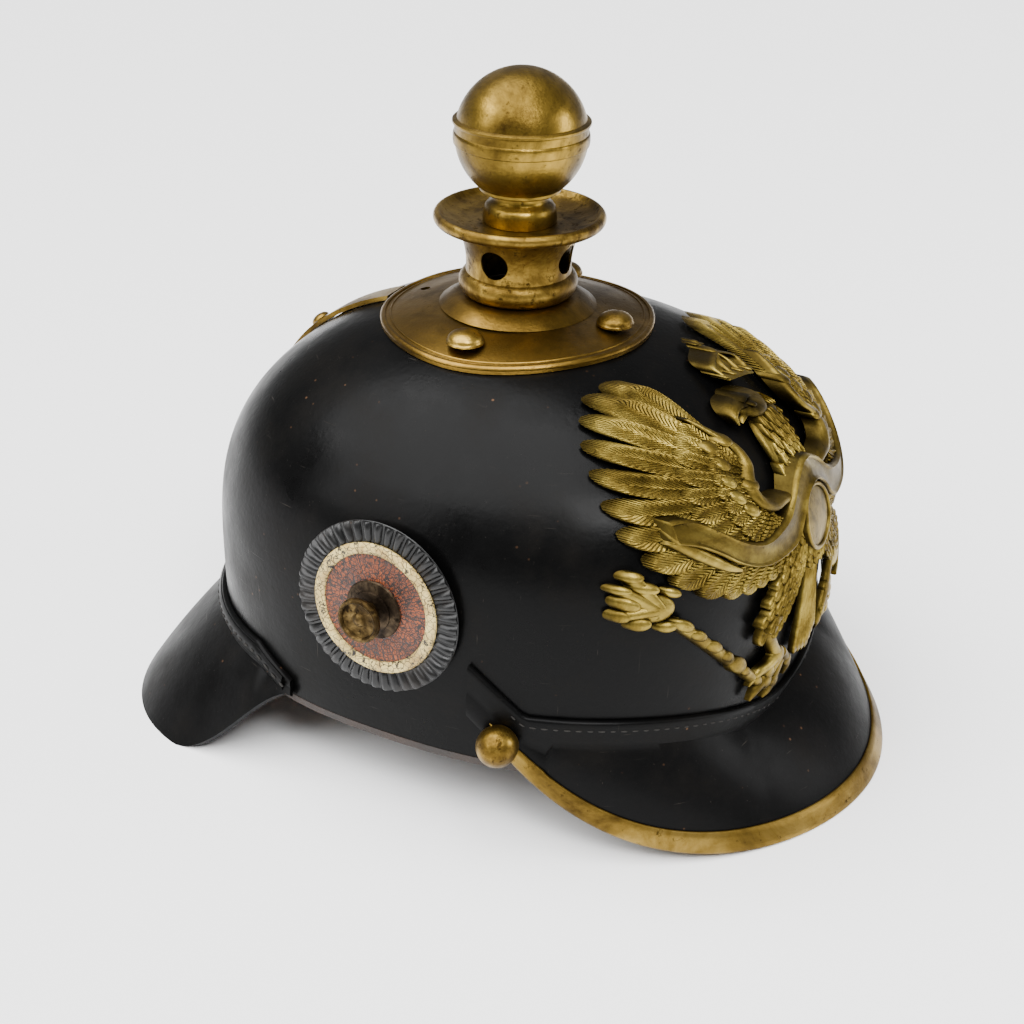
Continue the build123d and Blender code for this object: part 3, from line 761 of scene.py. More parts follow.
def stitch_tree() -> Tree:
    """Build the tree that lays stitches along a curve.

    Returns:
        The tree, with inputs for pitch, length, thickness, unevenness, seed and thread.
    """
    tree = bpy.data.node_groups.new("stitches_along_seam", "GeometryNodeTree")
    named_input(tree, "Seam", "NodeSocketGeometry")
    for name in ("Pitch", "Stitch Length", "Thread Radius", "Unevenness"):
        named_input(tree, name, "NodeSocketFloat")
    named_input(tree, "Seed", "NodeSocketInt")
    named_input(tree, "Thread", "NodeSocketMaterial")
    tree.interface.new_socket(name="Stitches", in_out="OUTPUT", socket_type="NodeSocketGeometry")
    given = add_node(tree, "NodeGroupInput").outputs
    holes = add_node(
        tree,
        "GeometryNodeCurveToPoints",
        {"mode": "LENGTH"},
        {"Curve": given["Seam"], "Length": given["Pitch"]},
    )
    bead = add_node(tree, "GeometryNodeMeshUVSphere", None, {"Segments": 8, "Rings": 6, "Radius": 1.0})
    half = worked(tree, "MULTIPLY", given["Stitch Length"], 0.5)
    lean = add_node(tree, "FunctionNodeRandomValue", {"data_type": "FLOAT"}, {"Seed": given["Seed"]})
    less = worked(tree, "MULTIPLY", lean.outputs[1], given["Unevenness"])
    full = worked(tree, "SUBTRACT", 1.0, less)
    drawn = worked(tree, "MULTIPLY", half, full)
    size = add_node(
        tree,
        "ShaderNodeCombineXYZ",
        None,
        {"X": given["Thread Radius"], "Y": given["Thread Radius"], "Z": drawn},
    )
    laid = add_node(
        tree,
        "GeometryNodeInstanceOnPoints",
        None,
        {
            "Points": holes.outputs["Points"],
            "Instance": bead.outputs["Mesh"],
            "Rotation": holes.outputs["Rotation"],
            "Scale": size.outputs["Vector"],
        },
    )
    real = add_node(tree, "GeometryNodeRealizeInstances", None, {"Geometry": laid.outputs["Instances"]})
    dressed = add_node(
        tree,
        "GeometryNodeSetMaterial",
        None,
        {"Geometry": real.outputs["Geometry"], "Material": given["Thread"]},
    )
    add_node(tree, "NodeGroupOutput", None, {"Stitches": dressed.outputs["Geometry"]})
    return tree


def round_tree() -> Tree:
    """Build the tree that repeats a piece round the local Z axis.

    Returns:
        The tree, with inputs for count, radius, unevenness, seed and metal.
    """
    tree = bpy.data.node_groups.new("repeat_round_axis", "GeometryNodeTree")
    named_input(tree, "Piece", "NodeSocketGeometry")
    named_input(tree, "Count", "NodeSocketInt")
    named_input(tree, "Radius", "NodeSocketFloat")
    named_input(tree, "Unevenness", "NodeSocketFloat")
    named_input(tree, "Seed", "NodeSocketInt")
    named_input(tree, "Metal", "NodeSocketMaterial")
    tree.interface.new_socket(name="Ring", in_out="OUTPUT", socket_type="NodeSocketGeometry")
    given = add_node(tree, "NodeGroupInput").outputs
    circle = add_node(
        tree, "GeometryNodeMeshCircle", None, {"Vertices": given["Count"], "Radius": given["Radius"]}
    )
    where = add_node(tree, "GeometryNodeInputPosition")
    facing = add_node(
        tree,
        "FunctionNodeAlignRotationToVector",
        {"axis": "X", "pivot_axis": "Z"},
        {"Vector": where.outputs["Position"]},
    )
    least = worked(tree, "SUBTRACT", 1.0, given["Unevenness"])
    size = add_node(
        tree, "FunctionNodeRandomValue", {"data_type": "FLOAT"}, {2: least, 3: 1.0, "Seed": given["Seed"]}
    )
    laid = add_node(
        tree,
        "GeometryNodeInstanceOnPoints",
        None,
        {
            "Points": circle.outputs["Mesh"],
            "Instance": given["Piece"],
            "Rotation": facing.outputs["Rotation"],
            "Scale": size.outputs[1],
        },
    )
    real = add_node(tree, "GeometryNodeRealizeInstances", None, {"Geometry": laid.outputs["Instances"]})
    dressed = add_node(
        tree,
        "GeometryNodeSetMaterial",
        None,
        {"Geometry": real.outputs["Geometry"], "Material": given["Metal"]},
    )
    add_node(tree, "NodeGroupOutput", None, {"Ring": dressed.outputs["Geometry"]})
    return tree


def grown_mesh(source: bpy.types.Object, tree: Tree, inputs: dict) -> bpy.types.Mesh:
    """Run a node tree on an object and keep only the resulting mesh.

    Args:
        source: Curve or mesh object; it is removed afterwards.
        tree: The Geometry Nodes tree.
        inputs: Values by the tree's own input names.

    Returns:
        The plain mesh.
    """
    bpy.context.scene.collection.objects.link(source)
    grower = source.modifiers.new("grower", "NODES")
    grower.node_group = tree
    for item in tree.interface.items_tree:
        if item.name in inputs:
            grower[item.identifier] = inputs[item.name]
    bpy.context.view_layer.update()
    shown = source.evaluated_get(bpy.context.evaluated_depsgraph_get())
    mesh = bpy.data.meshes.new_from_object(shown)
    source.modifiers.remove(grower)
    bpy.data.objects.remove(source)
    return mesh


@dataclass
class Stitching:
    """A row of stitches in one thread."""

    pitch: float = 4.2
    length: float = 3.0
    radius: float = 0.42
    unevenness: float = 0.3
    seed: int = 7

    def sew(self, name: str, path: Sequence[Vector], finish: Finish, body: Body) -> bpy.types.Object:
        """Lay stitches along a path.

        Args:
            name: Piece name.
            path: Points on the seam, in millimetres.
            finish: The thread's finish.
            body: The body that they ride on.

        Returns:
            The stitches.
        """
        line = bpy.data.curves.new(name, "CURVE")
        line.dimensions = "3D"
        run = line.splines.new("POLY")
        run.points.add(len(path) - 1)
        for spot, point in zip(run.points, path):
            spot.co = (*(point * MM), 1)
        seam = bpy.data.objects.new(name + "_seam", line)
        tree = bpy.data.node_groups.get("stitches_along_seam") or stitch_tree()
        sizes = {
            "Pitch": self.pitch * MM, "Stitch Length": self.length * MM, "Thread Radius": self.radius * MM
        }
        mesh = grown_mesh(
            seam,
            tree,
            sizes | {"Unevenness": self.unevenness, "Seed": self.seed, "Thread": finish.material()},
        )
        return finish_piece(name, mesh, finish, body)


# ---------------------------------------------------------------- the dome and the pieces that flare from it
@dataclass
class DomeForm:
    """The leather dome as a rule: a superellipse in plan under a rounded crown."""

    crown_y: float = 8.4
    half_width: float = 95.9
    front_length: float = 110.0
    rear_length: float = 100.4
    squareness: float = 2.46
    widest_z: float = 59.0
    apex_z: float = 148.8
    fullness: float = 3.1
    tuck: float = 0.029
    edge_z: float = 30.0
    air: float = 0.2

    def girth(self, z: float, grow: float = 0) -> float:
        """Return the share of the plan's size at height z, for the dome grown outwards by `grow`."""
        if z <= self.widest_z:
            return 1 - self.tuck * ((self.widest_z - z) / 60) ** 2
        climb = min(1.0, (z - self.widest_z) / (self.apex_z + grow - self.widest_z))
        return sqrt(max(0.0, 1 - climb**self.fullness))

    def plan_radius(self, angle: float, grow: float = 0) -> float:
        """Return the widest level's radius at an angle in degrees from +X."""
        length = self.rear_length if sin(radians(angle)) > 0 else self.front_length
        across = abs(cos(radians(angle))) / (self.half_width + grow)
        along = abs(sin(radians(angle))) / (length + grow)
        return (across**self.squareness + along**self.squareness) ** (-1 / self.squareness)

    def share(self, x: float, y: float, grow: float = 0) -> float:
        """Return how far out a plan point is, 1 at the widest outline; y is from the crown axis."""
        length = self.rear_length if y > 0 else self.front_length
        plan = (
            abs(x) / (self.half_width + grow)
        ) ** self.squareness + (abs(y) / (length + grow)) ** self.squareness
        return plan ** (1 / self.squareness)

    def height(self, x: float, y: float, grow: float = 0) -> float:
        """Return the height of the grown dome over a plan point; y is from the crown axis."""
        lift = max(0.0, 1 - self.share(x, y, grow) ** 2) ** (1 / self.fullness)
        return self.widest_z + (self.apex_z + grow - self.widest_z) * lift

    def front(self, x: float, z: float, grow: float = 0) -> Vector:
        """Return the point on the grown dome's front at x and height z."""
        across = (abs(x) / (self.half_width + grow)) ** self.squareness
        deep = max(1e-4, self.girth(z, grow) ** self.squareness - across) ** (1 / self.squareness)
        return Vector((x, self.crown_y - (self.front_length + grow) * deep, z))

    def reach(self, centre_y: float, bearing: float, z: float, grow: float = 0) -> float:
        """Return the level distance from (0, centre_y) to the dome; bearing 0 is -X and 90 is -Y."""
        near, far = 0.0, 200.0
        girth = self.girth(z, grow)
        for _ in range(30):
            middle = (near + far) / 2
            x = -middle * cos(radians(bearing))
            y = centre_y - middle * sin(radians(bearing))
            if self.share(x, y, grow) < girth:
                near = middle
            else:
                far = middle
        return near

    def skin_point(self, angle: float, climb: float, grow: float = 0) -> Vector:
        """Return a point of the grown dome.

        Args:
            angle: Degrees from +X.
            climb: Below 0 it is the height under the widest level; from 0 to 90 it goes up to the crown.
            grow: Outward growth.

        Returns:
            The point.
        """
        if climb <= 0:
            z = self.widest_z + climb
            share = self.girth(z)
        else:
            z = self.widest_z + (
                self.apex_z + grow - self.widest_z
            ) * sin(radians(climb)) ** (2 / self.fullness)
            share = cos(radians(climb))
        radius = share * self.plan_radius(angle, grow)
        return Vector((radius * cos(radians(angle)), self.crown_y + radius * sin(radians(angle)), z))


@dataclass
class Flare:
    """A leather piece that hugs the dome at its seam and flares out to a rim: the peak or the neck guard."""

    form: DomeForm
    centre_y: float = 0.0
    thick: float = 2.0
    bow: float = 0.0

    def rim(self, bearing: float) -> Point:
        """Return the rim's level distance and height on a bearing."""
        raise NotImplementedError

    def seam(self, bearing: float) -> float:
        """Return the height of the upper edge on a bearing."""
        raise NotImplementedError

    def place(self, bearing: float, spot: Point | Vector) -> Vector:
        """Turn a (distance, height) point on a bearing into a point in space."""
        x = -spot[0] * cos(radians(bearing))
        y = self.centre_y + self.form.crown_y - spot[0] * sin(radians(bearing))
        return Vector((x, y, max(0.0, spot[1])))

    def outline(self, bearing: float) -> tuple[list[Vector], list[Vector]]:
        """Return the outer and inner outlines, from the seam to the rim, as (distance, height) points."""
        form = self.form
        rim_r, rim_z = self.rim(bearing)
        top_z = self.seam(bearing)
        low = rim_z < form.edge_z - 6
        turn_z = max(form.edge_z + 1, top_z - 9) if low else (top_z + rim_z) / 2
        turn_r = form.reach(self.centre_y, bearing, turn_z) + form.air
        foot = Vector((max(rim_r, form.reach(self.centre_y, bearing, rim_z) + form.air + self.thick), rim_z))
        outer, inner = [], []
        for share in (1.0, 0.97, 0.9, 0.75, 0.55, 0.35, 0.15):
            z = turn_z + (top_z - turn_z) * share
            r = form.reach(self.centre_y, bearing, z) + form.air
            lift = min(1.0, 0.5 + (1 - share) * 9)
            outer.append(Vector((r + self.thick * lift * 0.85, z)))
            inner.append(Vector((r, z)))
        slope = (Vector((turn_r, turn_z)) - foot).normalized()
        inward = Vector((-slope.y, slope.x)) * self.thick
        inner_rim = Vector(((foot + inward).x, max((foot + inward).y, min(rim_z, 1.0))))
        for k in range(13):
            share = 1 - k / 12
            outer.append(self.bowed(foot, Vector((turn_r + self.thick * 0.8, turn_z)), share))
            inner.append(self.bowed(inner_rim, Vector((turn_r, turn_z)), share))
        return outer, inner

    def bowed(self, rim: Vector, turn: Vector, share: float) -> Vector:
        """Return a point of the bowed line from the rim (0) to the turn (1)."""
        chord = turn - rim
        return rim + chord * share + Vector((chord.y, -chord.x)) * self.bow * 4 * share * (1 - share)

    def skin(self, bearings: Sequence[float]) -> Skin:
        """Return the closed leather piece, one section on each bearing."""
        rows = []
        for bearing in bearings:
            outer, inner = self.outline(bearing)
            rows.append([self.place(bearing, p) for p in outer + list(reversed(inner))])
        skin = Skin()
        skin.grid(rows, ring=True, cap=True)
        return skin


@dataclass
class Peak(Flare):
    """The front peak."""

    centre_y: float = -45.9
    thick: float = 2.2
    bow: float = 0.06
    half_width: float = 93.5
    length: float = 98.85
    side_z: float = 35.3
    trim_wall: float = 0.8

    def metal_rim(self, bearing: float) -> Point:
        """Return the brass trim's outer foot on a bearing."""
        c = abs(cos(radians(bearing))) / self.half_width
        s = abs(sin(radians(bearing))) / self.length
        radius = (c**1.94 + s**1.94) ** (-1 / 1.94)
        share = radius * sin(radians(bearing)) / self.length
        return radius, self.side_z * max(0.0, 1 - share) ** 2.5

    def directions(self, bearing: float) -> tuple[Vector, Vector]:
        """Return the unit directions up the leather and outwards, at the rim."""
        rim_r, rim_z = self.metal_rim(bearing)
        top_z = self.seam(bearing)
        low = rim_z < self.form.edge_z - 6
        turn_z = max(self.form.edge_z + 1, top_z - 9) if low else (top_z + rim_z) / 2
        turn_r = self.form.reach(self.centre_y, bearing, turn_z) + self.form.air + self.thick * 0.8
        foot = Vector(
            (max(rim_r, self.form.reach(self.centre_y, bearing, rim_z) + self.form.air + self.thick), rim_z)
        )
        up = (self.bowed(foot, Vector((turn_r, turn_z)), 0.25) - foot).normalized()
        return up, Vector((up.y, -up.x))

    def rim(self, bearing: float) -> Point:
        """Return the leather's rim, held inside the trim."""
        foot = Vector(self.metal_rim(bearing))
        up, out = self.directions(bearing)
        corner = foot + up * (self.trim_wall + 0.4) - out * (self.trim_wall + 0.3)
        return corner.x, corner.y

    def seam(self, bearing: float) -> float:
        """Return the peak's upper edge."""
        side = min(bearing, 180 - bearing)
        return 50 - 17 * abs(sin(radians(side))) ** 3.4 + 1.5 * max(0, 4 - side)


@dataclass
class NeckGuard(Flare):
    """The neck guard."""

    centre_y: float = 40.0
    thick: float = 2.4
    bow: float = 0.03
    half_width: float = 107.5
    length: float = 88.0

    def rim(self, bearing: float) -> Point:
        """Return the guard's rim."""
        c = abs(cos(radians(bearing))) / self.half_width
        s = abs(sin(radians(bearing))) / self.length
        radius = (c**3 + s**3) ** (-1 / 3)
        side = min(-bearing, 180 + bearing)
        drop = min(1.0, max(0.0, (side + 3) / 24))
        flared = max(
            radius - 14 * (1 - drop), self.form.reach(self.centre_y, bearing, self.form.edge_z) + 2.8
        )
        return flared, 31 * (1 - drop * drop * (3 - 2 * drop))

    def seam(self, bearing: float) -> float:
        """Return the guard's upper edge."""
        side = min(-bearing, 180 + bearing)
        return 44.5 - 8 * max(0, 1 - (side + 3) / 10)


def spread(start: float, end: float, count: int) -> list[float]:
    """Return evenly spread numbers with both ends."""
    return [start + (end - start) * k / (count - 1) for k in range(count)]


@dataclass
class Leatherwork:
    """The dome, peak and neck guard, their edge and their seams."""

    form: DomeForm
    wall: float = 3.0
    rows: int = 64
    columns: int = 216

    def dome(self) -> None:
        """Make the dome with its wall and its crown opening."""
        lower = spread(self.form.edge_z - self.form.widest_z, 0, 10)
        upper = spread(0, 81, self.rows)[1:]
        ring = []
        for climb in lower + upper:
            ring.append([self.form.skin_point(360 * k / self.columns, climb) for k in range(self.columns)])
        for climb in reversed(lower + upper):
            ring.append(
                [self.form.skin_point(360 * k / self.columns, climb, -self.wall) for k in range(self.columns)]
            )
        skin = Skin()
        skin.grid(ring, ring=True, loop=True)
        make_piece("leather_dome", skin, BLACK_LEATHER, Body.HELMET, ["shell"])

    def flares(self, peak: Peak, guard: NeckGuard) -> None:
        """Make the peak, the neck guard and the raised strip and stitches along the guard."""
        make_piece("peak_leather", peak.skin(spread(-7, 187, 150)), PEAK_LEATHER, Body.HELMET, ["front_peak"])
        make_piece(
            "neck_guard_leather", guard.skin(spread(3, -183, 150)), PEAK_LEATHER, Body.HELMET, ["neck_guard"]
        )
        strip = Skin()
        rows, seam = [], []
        for bearing in spread(1, -181, 150):
            top = guard.seam(bearing)
            section = []
            for drop, out in (
                (0.6, 0.3), (0.9, 2.5), (1.9, 3.3), (3.4, 3.4), (5.4, 3.3), (6.4, 2.9), (6.8, 1.9), (3.8, 1.2)
            ):
                r = self.form.reach(guard.centre_y, bearing, top - drop)
                section.append(guard.place(bearing, (r + out, top - drop)))
            rows.append(section)
            r = self.form.reach(guard.centre_y, bearing, top - 3.6)
            seam.append(guard.place(bearing, (r + 3.5, top - 3.6)))
        strip.grid(rows, ring=True, cap=True)
        make_piece("neck_guard_strip", strip, PEAK_LEATHER, Body.HELMET)
        Stitching().sew("neck_guard_stitches", seam, SEAM_THREAD, Body.HELMET)
        line = []
        for bearing in spread(2, 178, 120):
            top = peak.seam(bearing) - 3.2
            r = self.form.reach(peak.centre_y, bearing, top)
            line.append(peak.place(bearing, (r + 2.05, top)))
        Stitching(pitch=3.6, length=2.4, radius=0.3).sew("peak_stitches", line, SEAM_THREAD, Body.HELMET)

    def build(self, peak: Peak, guard: NeckGuard) -> None:
        """Build and dress the leather."""
        self.dome()
        self.flares(peak, guard)
        cast_piece("edge_welt_leather", "edge_welt", EDGE_LEATHER, Body.HELMET)


@dataclass
class RimTrim:
    """The brass trim round the peak's rim, and the ball stud at each of its ends."""

    peak: Peak
    wall: float = 0.8
    leg: float = 8.0
    stud_radius: float = 6.8
    stud_x: float = 92.5
    stud_y: float = -37.5
    stud_z: float = 40.5

    def section(self, bearing: float) -> list[Vector]:
        """Return the trim's closed section on a bearing, as (distance, height) points."""
        up, out = self.peak.directions(bearing)
        foot = Vector(self.peak.metal_rim(bearing))
        heel = foot - out * (self.peak.thick + 2 * self.wall + 0.9)
        heel = Vector((heel.x, max(heel.y, min(foot.y, 0.0))))
        sole = (foot - heel).normalized()
        top = foot + up * self.leg
        w = self.wall
        outer = [
            top - up * 0.2,
            foot + up * 5.2 + out * 0.05,
            foot + up * 2.4 + out * 0.1,
            foot + up * 1.1,
            foot + up * 0.35 - sole * 0.3,
        ]
        sole_line = [foot - sole * 1.1, heel + sole, heel + up * 0.4 + sole * 0.2, heel + up * 1.2]
        inner = [
            heel + up * 5,
            heel + up * 5 + sole * w,
            heel + up * 1.6 + sole * w,
            heel + up * w + sole * (w + 0.5),
        ]
        rest = [foot + up * w - out * (w + 0.5), foot + up * 1.6 - out * w, top - out * w, top - out * 0.2]
        return outer + sole_line + inner + rest

    def build(self) -> None:
        """Build and dress the trim and its studs."""
        skin = Skin()
        bearings = spread(-2.5, 182.5, 220)
        skin.grid([[self.peak.place(b, p) for p in self.section(b)] for b in bearings], ring=True, cap=True)
        make_piece("peak_rim_brass", skin, TRIM_BRASS, Body.HELMET, ["peak_trim"], angle=48)
        studs = Skin()
        profile = [(0.0, -8.5), (1.6, -8.5), (1.6, -1.0), (3.2, -0.6), (3.2, 0.2), (6.0, 0.6), (6.3, 1.4)]
        for angle in spread(-22, 90, 22):
            profile.append(
                (self.stud_radius * cos(radians(angle)), 4.4 + self.stud_radius * sin(radians(angle)))
            )
        for side in (-1, 1):
            place = Matrix.Translation(
                (side * self.stud_x, self.stud_y, self.stud_z)
            ) @ Matrix.Rotation(side * pi / 2, 4, "Y")
            studs.turned(profile, place, 64)
        make_piece("peak_end_balls", studs, FITTING_BRASS, Body.HELMET, ["peak_end_studs"])


@dataclass
class CrownFittings:
    """Everything above the dome: base plate, studs, vented collar, dish and ball."""

    form: DomeForm
    stud_circle: float = 36.7
    stud_radius: float = 6.0
    dish_radius: float = 29.0
    dish_top: float = 181.7
    ball_radius: float = 22.0
    ball_z: float = 207.0
    seam_z: float = 211.0

    def axis(self) -> Matrix:
        """Return the crown axis's frame."""
        return Matrix.Translation((0, self.form.crown_y, 0))

    def studs(self) -> None:
        """Make the three domed studs that are left on the plate."""
        skin = Skin()
        r = self.stud_radius
        profile = [
            (0.0, -9.5), (1.6, -9.5), (1.6, 0.6), (r - 0.4, 1.0), (r + 0.3, 1.3), (r + 0.3, 1.9), (r, 2.2)
        ]
        profile += [(r * cos(radians(a)), 2.2 + 3.3 * sin(radians(a))) for a in spread(10, 90, 14)]
        for x, y in ((-self.stud_circle, 0), (0, -self.stud_circle), (self.stud_circle, 0)):
            place = Matrix.Translation((x, y + self.form.crown_y, self.form.height(x, y, 1.7)))
            skin.turned(profile, place, 48)
        make_piece("plate_domed_studs", skin, FITTING_BRASS, Body.HELMET, ["plate_studs"])

    def dish(self) -> None:
        """Make the spun dish under the ball, its rolled rim round."""
        top, r = self.dish_top, self.dish_radius
        profile = [(4, 176.7), (21.4, 176.7), (22.6, 176.9), (24, top - 4.1), (27.4, top - 4.2)]
        profile += [
            (r - 1.9 + 1.9 * cos(radians(a)), top - 2.1 + 2.1 * sin(radians(a))) for a in spread(-90, 90, 16)
        ]
        profile += [
            (26.6, top - 0.3),
            (26.0, top - 1.3),
            (25.0, top - 1.9),
            (23, top - 2.4),
            (19, top - 3.6),
            (4, top - 3.9),
        ]
        skin = Skin()
        skin.turned(profile, self.axis(), 128)
        make_piece("spun_dish", skin, FITTING_BRASS, Body.HELMET, ["collar_dish"])

    def ball(self) -> None:
        """Make the ball in two halves, lapped at the seam."""
        r, z = self.ball_radius, self.ball_z
        base = self.dish_top - 3.55
        lower = [
            (3, base),
            (12.4, base),
            (12.5, base + 1.4),
            (12.1, base + 3.6),
            (11.9, base + 5.0),
            (11.0, base + 6.1),
            (9.7, base + 7.0),
        ]
        lower += [
            (9.2, base + 8.0),
            (9.2, 187.3),
            (9.8, 187.8),
            (11.2, 188.1),
            (12.8, 188.4),
            (13.6, 189.0),
            (13.5, 189.8),
        ]
        lower += [(r * cos(radians(a)), z + r * sin(radians(a))) for a in spread(-50, -7.5, 22)]
        lower += [
            (22.35, 204.5),
            (22.5, 205.6),
            (22.5, 207.2),
            (22.3, 208.1),
            (r, 208.4),
            (r, self.seam_z - 0.15),
            (20.6, self.seam_z - 0.15),
        ]
        lower += [(20.6, z), (14, 193), (9, 191), (3, 191)]
        skin = Skin()
        skin.turned(lower, self.axis(), 128)
        make_piece("ball_lower_half", skin, BALL_BRASS, Body.HELMET, ["ball_lower"])
        upper = [
            (20.6, self.seam_z),
            (22.5, self.seam_z),
            (22.75, self.seam_z + 0.4),
            (22.7, self.seam_z + 1.0),
            (22.0, self.seam_z + 1.5),
        ]
        upper += [(r * cos(radians(a)), z + r * sin(radians(a))) for a in spread(15, 90, 40)]
        upper += [((r - 1.3) * cos(radians(a)), z + (r - 1.3) * sin(radians(a))) for a in spread(90, 12, 20)]
        skin = Skin()
        skin.turned(upper, self.axis(), 128)
        make_piece("ball_upper_half", skin, BALL_BRASS, Body.HELMET, ["ball_cap"])

    def plate_edge(self) -> None:
        """Make the rolled bead at the plate's edge, and the fine groove line inside it."""
        for name, radius, bead in (("plate_rolled_edge", 46.2, 0.95), ("plate_inner_bead", 43.6, 0.4)):
            rows = []
            for k in range(240):
                angle = 2 * pi * k / 240
                row = []
                for turn in spread(0, 330, 12):
                    r = radius + bead * cos(radians(turn))
                    x, y = r * cos(angle), r * sin(angle)
                    z = self.form.height(radius * cos(angle), radius * sin(angle), 1.75)
                    row.append(
                        Vector(
                            (
                                x,
                                self.form.crown_y + y,
                                z - (r - radius) * 0.35 + bead * 0.75 * sin(radians(turn)),
                            )
                        )
                    )
                rows.append(row)
            skin = Skin()
            skin.grid(rows, ring=True, loop=True)
            make_piece(name, skin, PLATE_BRASS, Body.HELMET)

    def build(self) -> None:
        """Build and dress the crown fittings."""
        self.plate_edge()
        cast_piece("crown_plate", "base_plate", PLATE_BRASS, Body.HELMET)
        cast_piece("vented_collar", "vent_collar", FITTING_BRASS, Body.HELMET, angle=40)
        self.studs()
        self.dish()
        self.ball()


@dataclass
class Cockade:
    """The pleated cockade on its side post, with a cream ring, a crazed red middle and a stepped washer."""

    side: int
    centre_x: float = 95.6
    centre_y: float = 6.4
    centre_z: float = 79.0
    tilt: float = 4.0
    pleats: int = 44
    bore: float = 3.55
    back: float = 0.9

    def place(self) -> Matrix:
        """Return the frame whose Z axis is the cockade's own axis, outwards."""
        turn = Matrix.Rotation(self.side * radians(90 - self.tilt), 4, "Y")
        return Matrix.Translation((self.side * self.centre_x, self.centre_y, self.centre_z)) @ turn

    def name(self) -> str:
        """Return the side's name."""
        return "right" if self.side < 0 else "left"

    def body(self) -> Body:
        """Return the cockade's own body."""
        return Body.RIGHT_COCKADE if self.side < 0 else Body.LEFT_COCKADE

    def pleat(self) -> bpy.types.Object:
        """Return one pleat, from the ring out to the edge, its ridge rounded."""
        rows = []
        for along, width, rise in (
            (0, 1.4, 0.4),
            (0.6, 1.45, 1.2),
            (2.0, 1.55, 1.6),
            (4.5, 1.72, 1.7),
            (6.6, 1.85, 1.5),
            (7.4, 1.7, 0.8),
        ):
            row = [
                (-width, 0.0),
                (-width * 0.62, rise * 0.62),
                (-width * 0.2, rise),
                (width * 0.25, rise * 0.96),
                (width * 0.72, rise * 0.45),
                (width, 0.0),
            ]
            rows.append([Vector((along, across, up)) for across, up in row])
        skin = Skin()
        skin.grid(rows, ring=True, cap=True)
        mesh = bpy.data.meshes.new("pleat")
        mesh.from_pydata([p * MM for p in skin.points], [], skin.faces)
        return bpy.data.objects.new("pleat", mesh)

    def build(self) -> None:
        """Build and dress the cockade's layers."""
        b, place, side, body = self.back, self.place(), self.name(), self.body()
        skin = Skin()
        skin.turned(
            [
                (self.bore, b),
                (23.5, b),
                (29.3, b - 0.3),
                (29.5, b),
                (29.3, b + 0.35),
                (23.5, b + 0.6),
                (22, b + 1.1),
                (self.bore, b + 1.1),
            ],
            place,
            132,
        )
        make_piece(f"cockade_disc_{side}", skin, PLEAT_BLACK, body, [f"cockade_pleats_{side}"])
        tree = bpy.data.node_groups.get("repeat_round_axis") or round_tree()
        ring = grown_mesh(
            self.pleat(),
            tree,
            {
                "Count": self.pleats,
                "Radius": 22 * MM,
                "Unevenness": 0.04,
                "Seed": 3,
                "Metal": PLEAT_BLACK.material(),
            },
        )
        ring.transform(Matrix.Translation((0, 0, (b + 0.25) * MM)))
        ring.transform(Matrix.Translation(place.translation * MM) @ place.to_3x3().to_4x4())
        finish_piece(f"cockade_pleat_ring_{side}", ring, PLEAT_BLACK, body, angle=60)
        cream = [(18.7, b + 1.15), (22.5, b + 1.15)]
        cream += [
            (20.6 + 1.95 * cos(radians(a)), b + 1.5 + 1.0 * sin(radians(a))) for a in spread(0, 180, 14)
        ]
        skin = Skin()
        skin.turned(cream, place, 144)
        make_piece(f"cockade_cream_ring_{side}", skin, CREAM_PAINT, body, [f"cockade_ring_{side}"])
        skin = Skin()
        skin.turned(
            [
                (self.bore, b + 1.15),
                (18.6, b + 1.15),
                (18.6, b + 1.55),
                (17.4, b + 1.75),
                (12, b + 1.9),
                (self.bore, b + 2.0),
            ],
            place,
            120,
        )
        make_piece(f"cockade_red_{side}", skin, RED_PAINT, body, [f"cockade_centre_{side}"])
        washer = [
            (self.bore, b + 2.05),
            (9.8, b + 2.05),
            (10.0, b + 2.4),
            (9.7, b + 2.9),
            (8.0, b + 3.3),
            (7.0, b + 3.6),
            (6.9, b + 4.3),
            (6.4, b + 4.6),
            (self.bore, b + 4.6),
        ]
        skin = Skin()
        skin.turned(washer, place, 96)
        make_piece(f"cockade_washer_{side}", skin, WASHER_METAL, body, [f"cockade_washer_{side}"])


@dataclass
class SidePosts:
    """The two brass posts that carry the cockades and once held a chin strap."""

    radius: float = 3.5
    head: float = 7.5
    reach: float = 12.5

    def build(self) -> None:
        """Build and dress both posts."""
        r, h, t = self.radius, self.head, self.reach
        profile = [
            (0, -9.5),
            (r, -9.5),
            (r, 0.2),
            (5.6, 0.2),
            (5.6, 0.7),
            (r, 0.7),
            (r, t - 3.6),
            (3.9, t - 3.2),
            (5.4, t - 2.8),
            (h - 0.4, t - 1.9),
        ]
        profile += [
            (h, t - 1.3),
            (h, t - 0.3),
            (h - 0.4, t + 0.35),
            (h - 1.1, t + 0.5),
            (6.0, t + 0.2),
            (5.7, t - 0.7),
            (5.2, t - 0.9),
        ]
        profile += [(2.4, t - 0.8), (1.9, t - 0.3), (1.2, t + 0.05), (0, t + 0.15)]
        skin = Skin()
        for side in (-1, 1):
            skin.turned(profile, Cockade(side).place(), 72)
        make_piece("strap_posts", skin, POST_BRASS, Body.HELMET, ["side_posts"])


# ---------------------------------------------------------------- the struck emblem
# Across a struck feather: share of its half width, and share of its rise. The middle one is the quill.
FEATHER_SECTION = (
    (-1.0, 0.0),
    (-0.94, 0.7),
    (-0.82, 0.95),
    (-0.64, 0.5),
    (-0.36, 0.42),
    (-0.1, 0.5),
    (0.0, 1.0),
    (0.1, 0.5),
    (0.36, 0.42),
    (0.64, 0.5),
    (0.82, 0.95),
    (0.94, 0.7),
    (1.0, 0.0),
)


